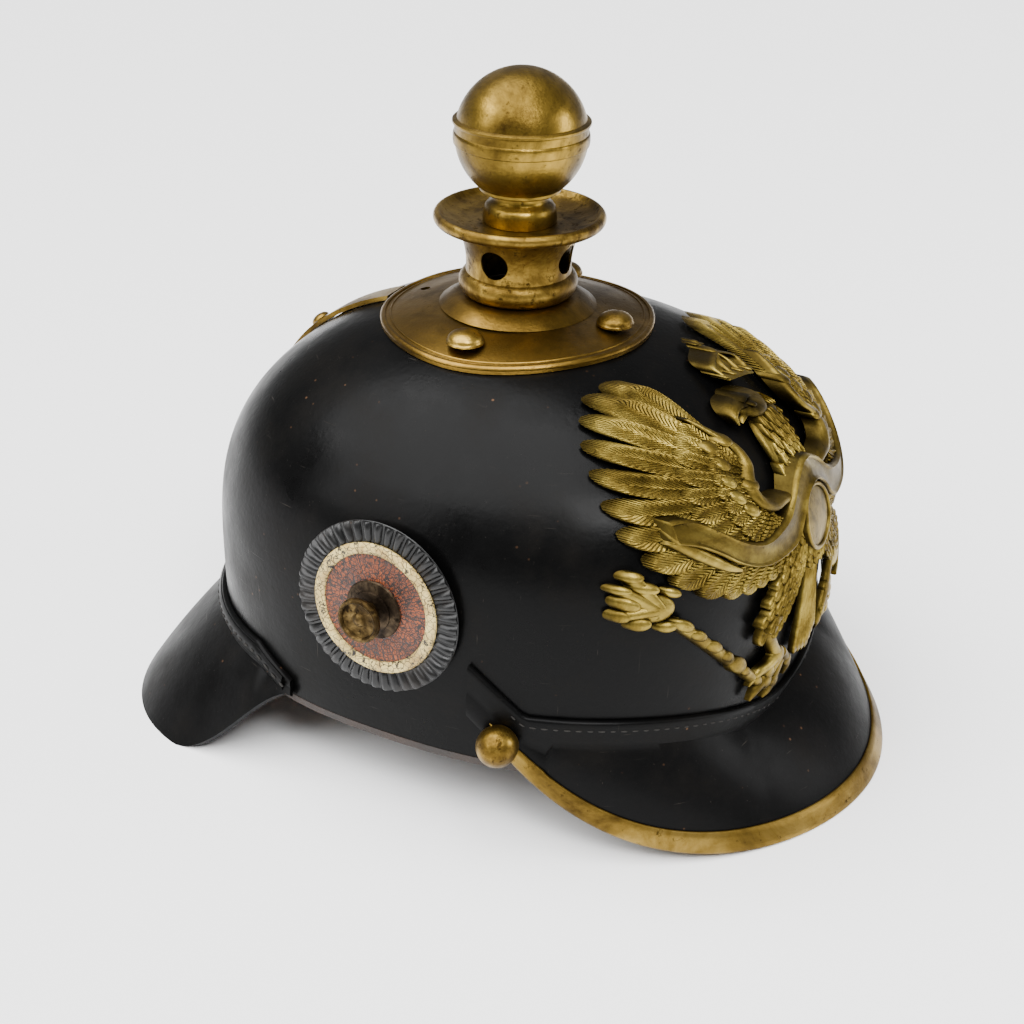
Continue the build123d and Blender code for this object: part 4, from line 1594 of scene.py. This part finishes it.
@dataclass
class Emblem:
    """The die-struck brass bird on the front, in relief.

    Its places are (x, height) points on the dome's front. Inside, they are laid out by x and the way up the
    dome's front line, so the relief keeps its proportions near the crown.
    """

    form: DomeForm
    back: float = 1.5
    face: float = 2.6
    step: float = 0.25
    ways: list[float] = field(default_factory=list)

    def __post_init__(self) -> None:
        """Measure the way up the dome's front line from its widest level."""
        self.ways.append(0.0)
        last = self.form.front(0, self.form.widest_z)
        for k in range(1, 358):
            here = self.form.front(0, self.form.widest_z + k * self.step)
            self.ways.append(self.ways[-1] + (here - last).length)
            last = here

    def lay(self, spot: Point) -> Vector:
        """Turn an (x, height) point into x and the way up the dome."""
        rise = (spot[1] - self.form.widest_z) / self.step
        if rise <= 0:
            return Vector((spot[0], spot[1] - self.form.widest_z))
        k = min(int(rise), len(self.ways) - 2)
        return Vector((spot[0], self.ways[k] + (self.ways[k + 1] - self.ways[k]) * (rise - k)))

    def at(self, x: float, way: float, height: float) -> Vector:
        """Return the point at x and that way up the dome, that far off the leather."""
        if way <= 0:
            return self.form.front(x, self.form.widest_z + way, height)
        k = min(bisect(self.ways, way), len(self.ways) - 1) - 1
        share = (way - self.ways[k]) / (self.ways[k + 1] - self.ways[k])
        return self.form.front(x, self.form.widest_z + (k + min(1.0, share)) * self.step, height)

    def blade(
        self,
        skin: Skin,
        root: Point,
        tip: Point,
        width: float,
        rise: float,
        base: float,
        bend: float = 0.0,
        lean: float = 0.0,
        blunt: float = 15.0,
        along: int = 18,
    ) -> None:
        """Add one struck feather: narrow at the root, rounded at the tip, with a raised rim and quill.

        Args:
            skin: Where it goes.
            root: Its root.
            tip: Its tip.
            width: Its greatest width.
            rise: How far its quill and rim stand over its edges.
            base: Its edges' height off the leather.
            bend: How far its middle bows sideways.
            lean: How much one edge stands over the other.
            blunt: How full the tip is.
            along: Rows from root to tip.
        """
        a, b = self.lay(root), self.lay(tip)
        run = b - a
        side = Vector((-run.y, run.x)).normalized()
        rows, lies, reliefs = [], [], []
        for i in range(along + 1):
            t = 1 - (1 - i / along) ** 1.5
            middle = a + run * t + side * bend * sin(pi * t)
            half = width / 2 * (0.5 + 0.5 * min(1.0, t * 1.5)) * sqrt(max(0.0, 1 - t**blunt))
            closing = min(1.0, max(0.0, (t - 0.86) / 0.09))
            row, lie, relief = [], [], []
            for s, share in FEATHER_SECTION:
                spot = middle + side * half * s
                high = share + (0.9 - share) * closing if abs(s) < 0.9 else share
                high *= sqrt(max(0.0, 1 - max(0.0, (t - 0.95) / 0.05) ** 2))
                row.append(self.at(spot.x, spot.y, base + rise * high + lean * s + 0.4 * t))
                lie.append((half * s, run.length * t))
                relief.append(0.4 + 0.6 * share)
            for s in (1, 0, -1):
                spot = middle + side * half * s
                row.append(self.at(spot.x, spot.y, self.back))
                lie.append((half * s, run.length * t))
                relief.append(0.0)
            rows.append(row)
            lies.append(lie)
            reliefs.append(relief)
        skin.grid(rows, ring=True, cap=True, lie=lambda i, j: lies[i][j], relief=lambda i, j: reliefs[i][j])

    def cordon(
        self,
        skin: Skin,
        path: Sequence[Point],
        radii: Sequence[float],
        base: float,
        rise: float = 1.0,
        steps: int = 6,
    ) -> None:
        """Add a half-round bar along a smooth line, its radius changing from point to point.

        Args:
            skin: Where it goes.
            path: Points that it runs through.
            radii: Its radius at each of them.
            base: Its foot's height off the leather.
            rise: Its height as a share of its radius.
            steps: Samples between points.
        """
        line = catmull([Vector((*self.lay(spot), radius)) for spot, radius in zip(path, radii)], steps)
        rows = []
        for i, spot in enumerate(line):
            ahead = line[min(i + 1, len(line) - 1)] - line[max(i - 1, 0)]
            side = Vector((-ahead.y, ahead.x)).normalized()
            radius = max(0.12, spot.z)
            row = []
            for angle in spread(0, 180, 9):
                flat = Vector((spot.x, spot.y)) + side * radius * cos(radians(angle))
                row.append(self.at(flat.x, flat.y, base + rise * radius * sin(radians(angle))))
            for out in (-1, 1):
                flat = Vector((spot.x, spot.y)) + side * radius * out
                row.append(self.at(flat.x, flat.y, self.back))
            rows.append(row)
        skin.grid(
            rows, ring=True, cap=True, relief=lambda i, j: max(0.15, sin(radians(22.5 * j))) if j < 9 else 0.0
        )

    def boss(
        self,
        skin: Skin,
        centre: Point,
        half_x: float,
        half_up: float,
        rise: float,
        base: float,
        turn: float = 0.0,
        power: float = 0.5,
    ) -> None:
        """Add an oval boss.

        Args:
            skin: Where it goes.
            centre: Its middle.
            half_x: Half its width.
            half_up: Half its height.
            rise: Its height over its edge.
            base: Its edge's height off the leather.
            turn: Its turn in degrees.
            power: 0.5 is a round section, and less is flatter.
        """
        middle = self.lay(centre)
        shares = [0.0, 1.0, 1.0, 0.97, 0.88, 0.7, 0.45, 0.2, 0.0]
        rows = []
        for k, share in enumerate(shares):
            row = []
            for angle in spread(0, 348.75, 32):
                u, v = half_x * share * cos(radians(angle)), half_up * share * sin(radians(angle))
                x = middle.x + u * cos(radians(turn)) - v * sin(radians(turn))
                way = middle.y + u * sin(radians(turn)) + v * cos(radians(turn))
                high = self.back if k < 2 else base + rise * max(0.0, 1 - share * share) ** power
                row.append(self.at(x, way, high))
            rows.append(row)
        skin.grid(rows, ring=True, relief=lambda i, j: min(1.0, 0.15 * i))

    def wing(self, skin: Skin, side: int) -> None:
        """Add one wing: long flight feathers under two rows of coverts."""
        tips = [
            (31, 142),
            (40, 140.5),
            (49, 137),
            (57.5, 132),
            (64, 125.5),
            (68.5, 118),
            (70.5, 110.5),
            (69, 103),
            (65, 96.5),
            (59, 91.5),
            (51.5, 88.5),
            (44.5, 87.3),
            (38, 86.8),
            (32, 86.8),
            (26.5, 87),
            (21, 87.6),
        ]
        roots = [
            (27.5, 124),
            (28.5, 123),
            (29, 121.5),
            (29.5, 120),
            (29.5, 118),
            (29, 116),
            (28.5, 114),
            (28, 112),
            (27, 110),
            (26, 108.5),
            (25, 107),
            (24, 106),
            (22.5, 105),
            (21, 104),
            (19, 103),
            (16.5, 102),
        ]
        for k, (root, tip) in enumerate(zip(roots, tips)):
            width = 11.4 - 0.36 * k
            self.blade(
                skin,
                (side * root[0], root[1]),
                (side * tip[0], tip[1]),
                width,
                1.0,
                self.face + 0.25 * (k % 2),
                bend=-side * 1.8,
                lean=side * 0.35,
            )
        for row_share, row_width, row_base in ((0.6, 7.4, 1.1), (0.36, 5.8, 2.0)):
            for k in range(len(tips) - 1):
                root = Vector(roots[k]).lerp(Vector(roots[k + 1]), 0.5)
                tip = root.lerp(Vector(tips[k]).lerp(Vector(tips[k + 1]), 0.5), row_share)
                self.blade(
                    skin,
                    (side * root.x, root.y),
                    (side * tip.x, tip.y),
                    row_width - 0.12 * k,
                    0.9,
                    self.face + row_base + 0.2 * (k % 2),
                    bend=-side,
                    lean=side * 0.3,
                    along=12,
                )

    def wing_edge(self, skin: Skin, side: int) -> None:
        """Add the rolled leading edge with its two knobs and the small round coverts behind it."""
        path = [
            (14, 108.5),
            (19, 109.5),
            (25, 110),
            (29.5, 112.5),
            (31, 116.5),
            (29, 120),
            (26, 123),
            (25.5, 127),
            (28, 131),
            (31, 135.5),
        ]
        self.cordon(
            skin,
            [(side * x, z) for x, z in path],
            [1.4, 2.0, 2.3, 2.4, 2.3, 2.0, 1.9, 1.8, 1.5, 0.7],
            self.face + 2.3,
        )
        self.boss(skin, (side * 30.5, 118), 3.1, 2.8, 1.9, self.face + 2.8)
        self.boss(skin, (side * 27.5, 129.5), 2.8, 3.2, 1.8, self.face + 2.6)
        for k, (x, z) in enumerate(((35, 112), (37.5, 116.5), (37, 121), (34.5, 125), (33.5, 129))):
            self.boss(
                skin, (side * x, z), 3.2, 2.4, 1.1, self.face + 2.9 - 0.1 * k, turn=side * (50 + 14 * k)
            )

    def plumes(
        self, skin: Skin, root: Point, tip: Point, half: float, count: int, base: float, length: float = 6.0
    ) -> None:
        """Add overlapping small feathers down a limb, from its lower end up.

        Args:
            skin: Where they go.
            root: The limb's upper end.
            tip: Its lower end.
            half: Half its width at the middle.
            count: Rows of feathers.
            base: Their height off the leather.
            length: Length of each feather.
        """
        a, b = Vector(root), Vector(tip)
        run = (b - a).normalized()
        side = Vector((-run.y, run.x))
        for row in range(count):
            t = 1 - (row + 0.5) / count
            wide = half * (0.45 + 0.55 * sin(pi * min(1.0, 0.15 + t * 0.75)))
            across = max(2, int(2 * wide / 3.0))
            for k in range(across):
                share = -1 + 2 * (k + (0.5 if row % 2 else 0.25)) / across
                spot = a.lerp(b, t) + side * wide * share
                lift = 1.6 * (1 - share * share)
                end = spot + run * length * 0.75 + side * share * 1.4
                start = spot - run * length * 0.25
                self.blade(skin, (start.x, start.y), (end.x, end.y), 3.8, 0.7, base + lift, blunt=3, along=8)

    def body(self, skin: Skin) -> None:
        """Add the tail, the feathered thighs and shanks, the breast and the neck."""
        for k in range(7):
            reach = -1 + k / 3
            foot = (reach * 9.5, 44.5 + 2.6 * abs(reach))
            self.blade(
                skin,
                (reach * 3.6, 80),
                foot,
                4.6,
                1.0,
                self.face + 0.2 + 0.7 * (1 - abs(reach)),
                bend=-reach * 1.2,
            )
        for side in (-1, 1):
            self.boss(skin, (side * 21.5, 80.5), 14.5, 7.8, 1.9, self.face - 0.6, turn=side * -48)
            self.plumes(skin, (side * 11, 90), (side * 32, 70), 7.2, 9, self.face + 0.6)
            self.cordon(
                skin,
                [(side * 29, 73), (side * 31, 67), (side * 28, 61), (side * 25, 56)],
                [3.4, 2.5, 2.1, 2.5],
                self.face,
            )
            self.blade(
                skin, (side * 33, 74), (side * 36.5, 64.5), 5.0, 0.9, self.face + 0.3, blunt=3, along=10
            )
        self.boss(skin, (0, 97), 15.5, 16.5, 2.2, self.face - 0.6, power=0.4)
        self.boss(skin, (1, 119), 8.5, 15.0, 2.2, self.face - 0.4, turn=-6)
        for row in range(18):
            z = 82 + row * 2.6
            half = 15.0 - max(0.0, 88 - z) * 0.8 if z < 104 else max(6.2, 15.0 - (z - 104) * 0.62)
            middle = 0.0 if z < 108 else (z - 108) * 0.16
            count = max(4, int(2 * half / 3.2))
            for k in range(count):
                share = -1 + 2 * (k + (0.5 if row % 2 else 0.2)) / count
                x = middle + half * share
                lift = 2.2 * (1 - share * share)
                self.blade(
                    skin,
                    (x, z + 2.6),
                    (x + share * 0.8, z - 2.0),
                    3.9,
                    0.7,
                    self.face + 0.7 + lift,
                    blunt=3,
                    along=8,
                )

    def breast_shield(self, skin: Skin) -> None:
        """Add the plain shield on the breast, its border raised."""
        self.boss(skin, (0, 96.5), 10.5, 11.0, 1.0, self.face + 3.3, power=0.3)
        border = [(10.3 * cos(radians(a)), 96.5 + 10.4 * sin(radians(a))) for a in spread(0, 360, 33)]
        self.cordon(skin, border, [0.85] * 33, self.face + 3.9, steps=2)

    def head(self, skin: Skin) -> None:
        """Add the turned head with its hooked beak and ruffled nape."""
        self.boss(skin, (0.5, 130.8), 8.6, 6.4, 3.2, self.face + 0.6, turn=-8)
        self.boss(skin, (5.5, 127.2), 6.2, 6.6, 2.6, self.face + 0.4)
        self.cordon(
            skin,
            [(-5.0, 132.6), (-9.0, 132.6), (-12.0, 131.2), (-12.8, 128.6)],
            [2.6, 2.2, 1.5, 0.3],
            self.face + 0.9,
        )
        self.cordon(skin, [(-5.5, 130.0), (-8.5, 129.4), (-10.4, 128.4)], [1.3, 1.0, 0.3], self.face + 0.8)
        self.boss(skin, (-2.6, 132.2), 1.5, 1.3, 0.8, self.face + 3.6)
        self.cordon(skin, [(-5.6, 133.3), (-2.6, 133.9), (1.0, 133.3)], [0.5, 0.8, 0.4], self.face + 3.2)
        for row in range(5):
            for k in range(3):
                start = (3.5 + 2.6 * k - 0.5 * row, 132.4 - 2.6 * row - 0.8 * k)
                self.blade(
                    skin,
                    start,
                    (start[0] + 3.0, start[1] - 3.4),
                    3.4,
                    0.8,
                    self.face + 2.2 - 0.5 * k,
                    blunt=3,
                    along=8,
                )

    def crown(self, skin: Skin) -> None:
        """Add the arched crown over the head: band, plain arches, beads and a small cross."""
        self.boss(skin, (9.5, 138.1), 7.8, 5.6, 2.0, self.face - 0.4, turn=-14)
        self.cordon(
            skin,
            [(2.4, 136.6), (7, 136.2), (12, 135.5), (16.6, 134.4)],
            [1.3, 1.5, 1.5, 1.3],
            self.face + 1.0,
        )
        for foot, bulge, top in (
            ((2.2, 137.4), (3.2, 139.6), (12.0, 140.6)),
            ((7.2, 137.0), (8.0, 139.0), (12.0, 140.6)),
            ((12.2, 136.4), (13.0, 138.6), (12.2, 140.6)),
            ((17.2, 135.4), (18.3, 138.2), (12.4, 140.6)),
        ):
            self.cordon(skin, [foot, bulge, top], [0.9, 0.8, 0.7], self.face + 1.5)
            self.boss(skin, foot, 1.4, 1.4, 1.0, self.face + 1.7)
        self.boss(skin, (12.6, 140.9), 1.8, 1.7, 1.4, self.face + 0.8)
        self.cordon(skin, [(12.8, 141.1), (14.6, 142.1)], [0.8, 0.7], self.face)
        self.cordon(skin, [(12.0, 141.9), (15.4, 141.2)], [0.7, 0.7], self.face)

    def ribbon(self, skin: Skin) -> None:
        """Add the plain ribbon across the wings and neck, with raised borders."""
        half_upper = [
            (0, 117),
            (9, 113.5),
            (16, 108),
            (22, 104.8),
            (33, 102.6),
            (40, 103.8),
            (46, 107),
            (52, 112),
            (57.5, 116),
            (62.5, 116.3),
        ]
        half_lower = [
            (0, 108.5),
            (8, 105),
            (14, 98.5),
            (20, 94.9),
            (33, 94.6),
            (41, 96),
            (48, 99.5),
            (54, 104.5),
            (59, 108),
            (64, 110),
        ]
        upper = [(-x, z) for x, z in reversed(half_upper[1:])] + half_upper
        lower = [(-x, z) for x, z in reversed(half_lower[1:])] + half_lower
        tops = catmull([self.lay(p) for p in upper], 7)
        feet = catmull([self.lay(p) for p in lower], 7)
        profile = (
            (0, 0.0),
            (0.03, 1.0),
            (0.09, 1.35),
            (0.15, 0.95),
            (0.2, 0.6),
            (0.5, 0.75),
            (0.8, 0.6),
            (0.85, 0.95),
            (0.91, 1.35),
            (0.97, 1.0),
            (1, 0.0),
        )
        rows = []
        for top, foot in zip(tops, feet):
            over_neck = 1.8 * max(0.0, 1 - abs(top.x) / 16)
            row = []
            for share, high in profile:
                spot = top.lerp(foot, share)
                row.append(self.at(spot.x, spot.y, self.face + 3.3 + high + over_neck))
            row += [self.at(foot.x, foot.y, self.back), self.at(top.x, top.y, self.back)]
            rows.append(row)
        skin.grid(
            rows,
            ring=True,
            cap=True,
            relief=lambda i, j: (0.1, 0.8, 1.0, 0.6, 0.35, 0.45, 0.35, 0.6, 1.0, 0.8, 0.1, 0.0, 0.0)[j],
        )
        for side in (-1, 1):
            fold = [(side * 63, 111), (side * 58, 105.5), (side * 51, 99.5), (side * 46, 96.5)]
            self.cordon(skin, fold, [2.6, 2.4, 1.8, 0.8], self.face + 2.0, rise=0.6)

    def talons(self, skin: Skin) -> None:
        """Add the claws, with the jointed staff in one and the orb in the other."""
        self.cordon(skin, [(-29, 45), (-41, 56), (-55, 71), (-67, 85)], [1.9, 1.9, 1.9, 1.7], self.face - 0.4)
        for x, z, size in (
            (-36, 51, 2.7),
            (-43, 58, 2.6),
            (-46.5, 62, 4.4),
            (-51.5, 67.5, 2.8),
            (-56.5, 73, 3.2),
            (-61.5, 78.8, 2.8),
            (-65.5, 83.5, 3.1),
        ):
            self.boss(skin, (x, z), size * 0.62, size, 1.3, self.face + 0.9, turn=42)
        self.boss(skin, (-70.5, 90.0), 4.8, 4.2, 1.6, self.face - 0.4, turn=42)
        leaves = (
            (-72.0, 97.0, 2.7),
            (-76.6, 92.6, 2.6),
            (-75.0, 85.8, 2.4),
            (-69.0, 83.8, 2.2),
            (-66.3, 94.6, 2.0),
            (-73.6, 100.6, 2.1),
            (-76.8, 97.0, 1.9),
            (-78.4, 88.8, 2.0),
        )
        for x, z, size in leaves:
            self.boss(skin, (x, z), size, size * 0.8, size * 0.6, self.face + 0.3, turn=z * 11)
        for inner, outer in (
            ((-71.0, 91.0), (-73.6, 100.6)), ((-72.0, 91.0), (-76.8, 97.0)), ((-72.0, 90.0), (-78.4, 88.8))
        ):
            self.cordon(skin, [inner, outer], [2.2, 1.5], self.face - 0.2)
        self.boss(skin, (43, 60), 9.6, 9.4, 4.2, self.face - 0.6)
        self.cordon(skin, [(35.5, 55.5), (42, 57.6), (50, 65)], [1.0, 1.2, 1.0], self.face + 2.9)
        self.cordon(skin, [(48, 66.5), (54, 73.5)], [1.2, 1.0], self.face)
        self.cordon(skin, [(48.5, 72.8), (54.5, 67.8)], [1.1, 1.1], self.face)
        for side in (-1, 1):
            for foot in (
                [(25, 56), (30, 54), (35.5, 53.5), (39.5, 50)],
                [(25, 54), (30.5, 50), (35.5, 47), (38.0, 43.5)],
                [(23, 53), (26.5, 47), (29, 43.2), (30.5, 41)],
                [(22, 55), (18, 50.5), (16, 46.5), (16.5, 43)],
            ):
                self.cordon(skin, [(side * x, z) for x, z in foot], [2.3, 2.1, 1.7, 0.35], self.face + 0.4)
            for x, z in ((30.5, 52), (31.5, 48.5), (27, 46.5), (18, 50)):
                self.boss(skin, (side * x, z), 2.3, 2.3, 1.0, self.face + 1.8)
            self.boss(skin, (side * 25, 55), 4.2, 3.8, 2.2, self.face + 0.6)

    def build(self) -> None:
        """Build and dress the emblem."""
        wings = Skin()
        for side in (-1, 1):
            self.wing(wings, side)
        make_piece("emblem_wings", wings, FEATHER_BRASS, Body.HELMET, ["front_emblem"], angle=60)
        plumage = Skin()
        self.body(plumage)
        make_piece("emblem_plumage", plumage, EMBLEM_BRASS, Body.HELMET, angle=60)
        regalia = Skin()
        for side in (-1, 1):
            self.wing_edge(regalia, side)
        self.breast_shield(regalia)
        self.head(regalia)
        self.crown(regalia)
        self.ribbon(regalia)
        self.talons(regalia)
        make_piece("emblem_head_and_regalia", regalia, EMBLEM_BRASS, Body.HELMET, angle=60)


# ---------------------------------------------------------------- the nape and the inside
@dataclass
class Nape:
    """The brass spine down the back, its sliding vent shutter and its rivets."""

    def build(self) -> None:
        """Dress the spine, shutter and rivets."""
        cast_piece("nape_spine", "rear_spine", TRIM_BRASS, Body.HELMET)
        cast_piece("nape_shutter", "vent_shutter", FITTING_BRASS, Body.SHUTTER)
        cast_piece("nape_rivets", "spine_rivets", FITTING_BRASS, Body.HELMET)


@dataclass
class Lining:
    """The sweatband, the leather fingers and the lace that draws them together."""

    form: DomeForm
    lace_ring: float = 31.0
    lace_radius: float = 1.2
    plies: int = 46

    def lace(self) -> None:
        """Make the two-ply lace in a ring."""
        z = self.form.height(0, -30, -16.0) + self.lace_radius + 0.6
        rows = []
        for k in range(288):
            angle = 2 * pi * k / 288
            row = []
            for j in range(12):
                turn = 2 * pi * j / 12
                thick = self.lace_radius * (0.74 + 0.26 * abs(cos(turn + self.plies * angle / 2)))
                r = self.lace_ring + thick * cos(turn)
                row.append(
                    Vector((r * cos(angle), self.form.crown_y + r * sin(angle), z + thick * sin(turn)))
                )
            rows.append(row)
        skin = Skin()
        skin.grid(rows, ring=True, loop=True)
        make_piece("finger_lace", skin, LACE_COTTON, Body.HELMET, ["crown_lace"], angle=80)

    def build(self) -> None:
        """Build and dress the lining."""
        cast_piece("sweatband_leather", "sweatband", LINING_LEATHER, Body.HELMET)
        cast_piece("lining_finger_leather", "lining_fingers", LINING_LEATHER, Body.HELMET)
        self.lace()
        seam = [self.form.skin_point(360 * k / 160, -4.0, -10.2) for k in range(161)]
        Stitching(pitch=6.0, length=3.8, radius=0.45, seed=11).sew(
            "sweatband_stitches", seam, LACE_COTTON, Body.HELMET
        )


def dress_fasteners() -> None:
    """Give the fasteners that stay as CAD nodes their own finish."""
    kept: dict[str, Finish] = {
        "end_stud_nuts": FITTING_BRASS,
        "stud_washers": EDGE_LEATHER,
        "finial_rod": WASHER_METAL,
        "finial_nut": WASHER_METAL,
        "post_nuts": FITTING_BRASS,
        "emblem_loops": EMBLEM_BRASS,
        "loop_pins": PIN_WOOD,
    }
    for name, finish in kept.items():
        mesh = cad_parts[name].data
        mesh.materials.clear()
        mesh.materials.append(finish.material())
        log.info("%s: dressed in %s", name, finish.name)


# ---------------------------------------------------------------- studio
@dataclass
class Studio:
    """Pale floor, soft light and the camera."""

    camera_place: tuple[float, float, float] = (-0.4717, -0.2338, 0.3577)
    heading: float = -62.78
    height: float = 28.76
    roll: float = 1.29
    lens: float = 58.03
    floor_half: float = 6.0
    world_strength: float = 0.34
    ceiling_strength: float = 8.0
    ceiling_spread: float = 70.0
    ceiling_tilt: tuple[float, float] = (-14.0, -16.0)
    aim: tuple[float, float, float] = (0, 0, 0.1)

    def floor(self) -> None:
        """Make the floor, a wide plain sheet."""
        mesh = bpy.data.meshes.new("floor")
        half = self.floor_half
        corners = [(-half, -half, 0), (half, -half, 0), (half, half, 0), (-half, half, 0)]
        mesh.from_pydata(corners, [], [(0, 1, 2, 3)])
        floor = bpy.data.objects.new("floor", mesh)
        bpy.context.scene.collection.objects.link(floor)
        paper = bpy.data.materials.new("white_paper")
        paper.use_nodes = True
        shader = paper.node_tree.nodes["Principled BSDF"]
        shader.inputs["Base Color"].default_value = linear("#fbfbfb")
        shader.inputs["Roughness"].default_value = 0.9
        mesh.materials.append(paper)

    def softbox(self, name: str, place: tuple[float, float, float], size: float, power: float) -> None:
        """Add one soft area light that faces the helmet.

        Args:
            name: Its name.
            place: Where it stands, in metres.
            size: Its side in metres.
            power: Its power in watts.
        """
        light = bpy.data.lights.new(name, "AREA")
        light.shape = "SQUARE"
        light.size = size
        light.energy = power
        box = bpy.data.objects.new(name, light)
        box.location = place
        box.rotation_euler = (Vector(self.aim) - Vector(place)).to_track_quat("-Z", "Y").to_euler()
        bpy.context.scene.collection.objects.link(box)

    def ceiling(self) -> None:
        """Add the wide even light from above."""
        light = bpy.data.lights.new("ceiling_light", "SUN")
        light.energy = self.ceiling_strength
        light.angle = radians(self.ceiling_spread)
        ceiling = bpy.data.objects.new("ceiling_light", light)
        ceiling.rotation_euler = (*map(radians, self.ceiling_tilt), 0)
        bpy.context.scene.collection.objects.link(ceiling)

    def camera(self) -> None:
        """Stand the camera at the viewing angle."""
        a, e, r = radians(self.heading), radians(self.height), radians(self.roll)
        back = Vector((sin(a) * cos(e), -cos(a) * cos(e), sin(e)))
        level = Vector((cos(a), sin(a), 0))
        upright = back.cross(level)
        right = level * cos(r) + upright * sin(r)
        up = upright * cos(r) - level * sin(r)
        data = bpy.data.cameras.new("camera")
        data.lens = self.lens
        data.sensor_width = 36
        data.clip_start = 0.01
        camera = bpy.data.objects.new("camera", data)
        turn = Matrix((right, up, back)).transposed()
        camera.matrix_world = Matrix.Translation(self.camera_place) @ turn.to_4x4()
        bpy.context.scene.collection.objects.link(camera)
        bpy.context.scene.camera = camera

    def build(self) -> None:
        """Set up the studio."""
        world = bpy.data.worlds.new("studio")
        world.use_nodes = True
        sky = world.node_tree.nodes["Background"]
        sky.inputs["Color"].default_value = (1, 1, 1, 1)
        sky.inputs["Strength"].default_value = self.world_strength
        bpy.context.scene.world = world
        self.floor()
        self.ceiling()
        self.softbox("key_softbox", (-0.9, -0.9, 1.5), 0.6, 26)
        self.softbox("side_softbox", (-1.3, 0.9, 0.8), 0.7, 9)
        self.softbox("front_softbox", (0.6, -1.5, 0.7), 0.7, 9)
        self.camera()


def main() -> None:
    form = DomeForm()
    peak = Peak(form)
    guard = NeckGuard(form)
    Studio().build()
    Leatherwork(form).build(peak, guard)
    RimTrim(peak).build()
    CrownFittings(form).build()
    for side in (-1, 1):
        Cockade(side).build()
    SidePosts().build()
    Emblem(form).build()
    Nape().build()
    Lining(form).build()
    dress_fasteners()


if __name__ == "__main__":
    main()
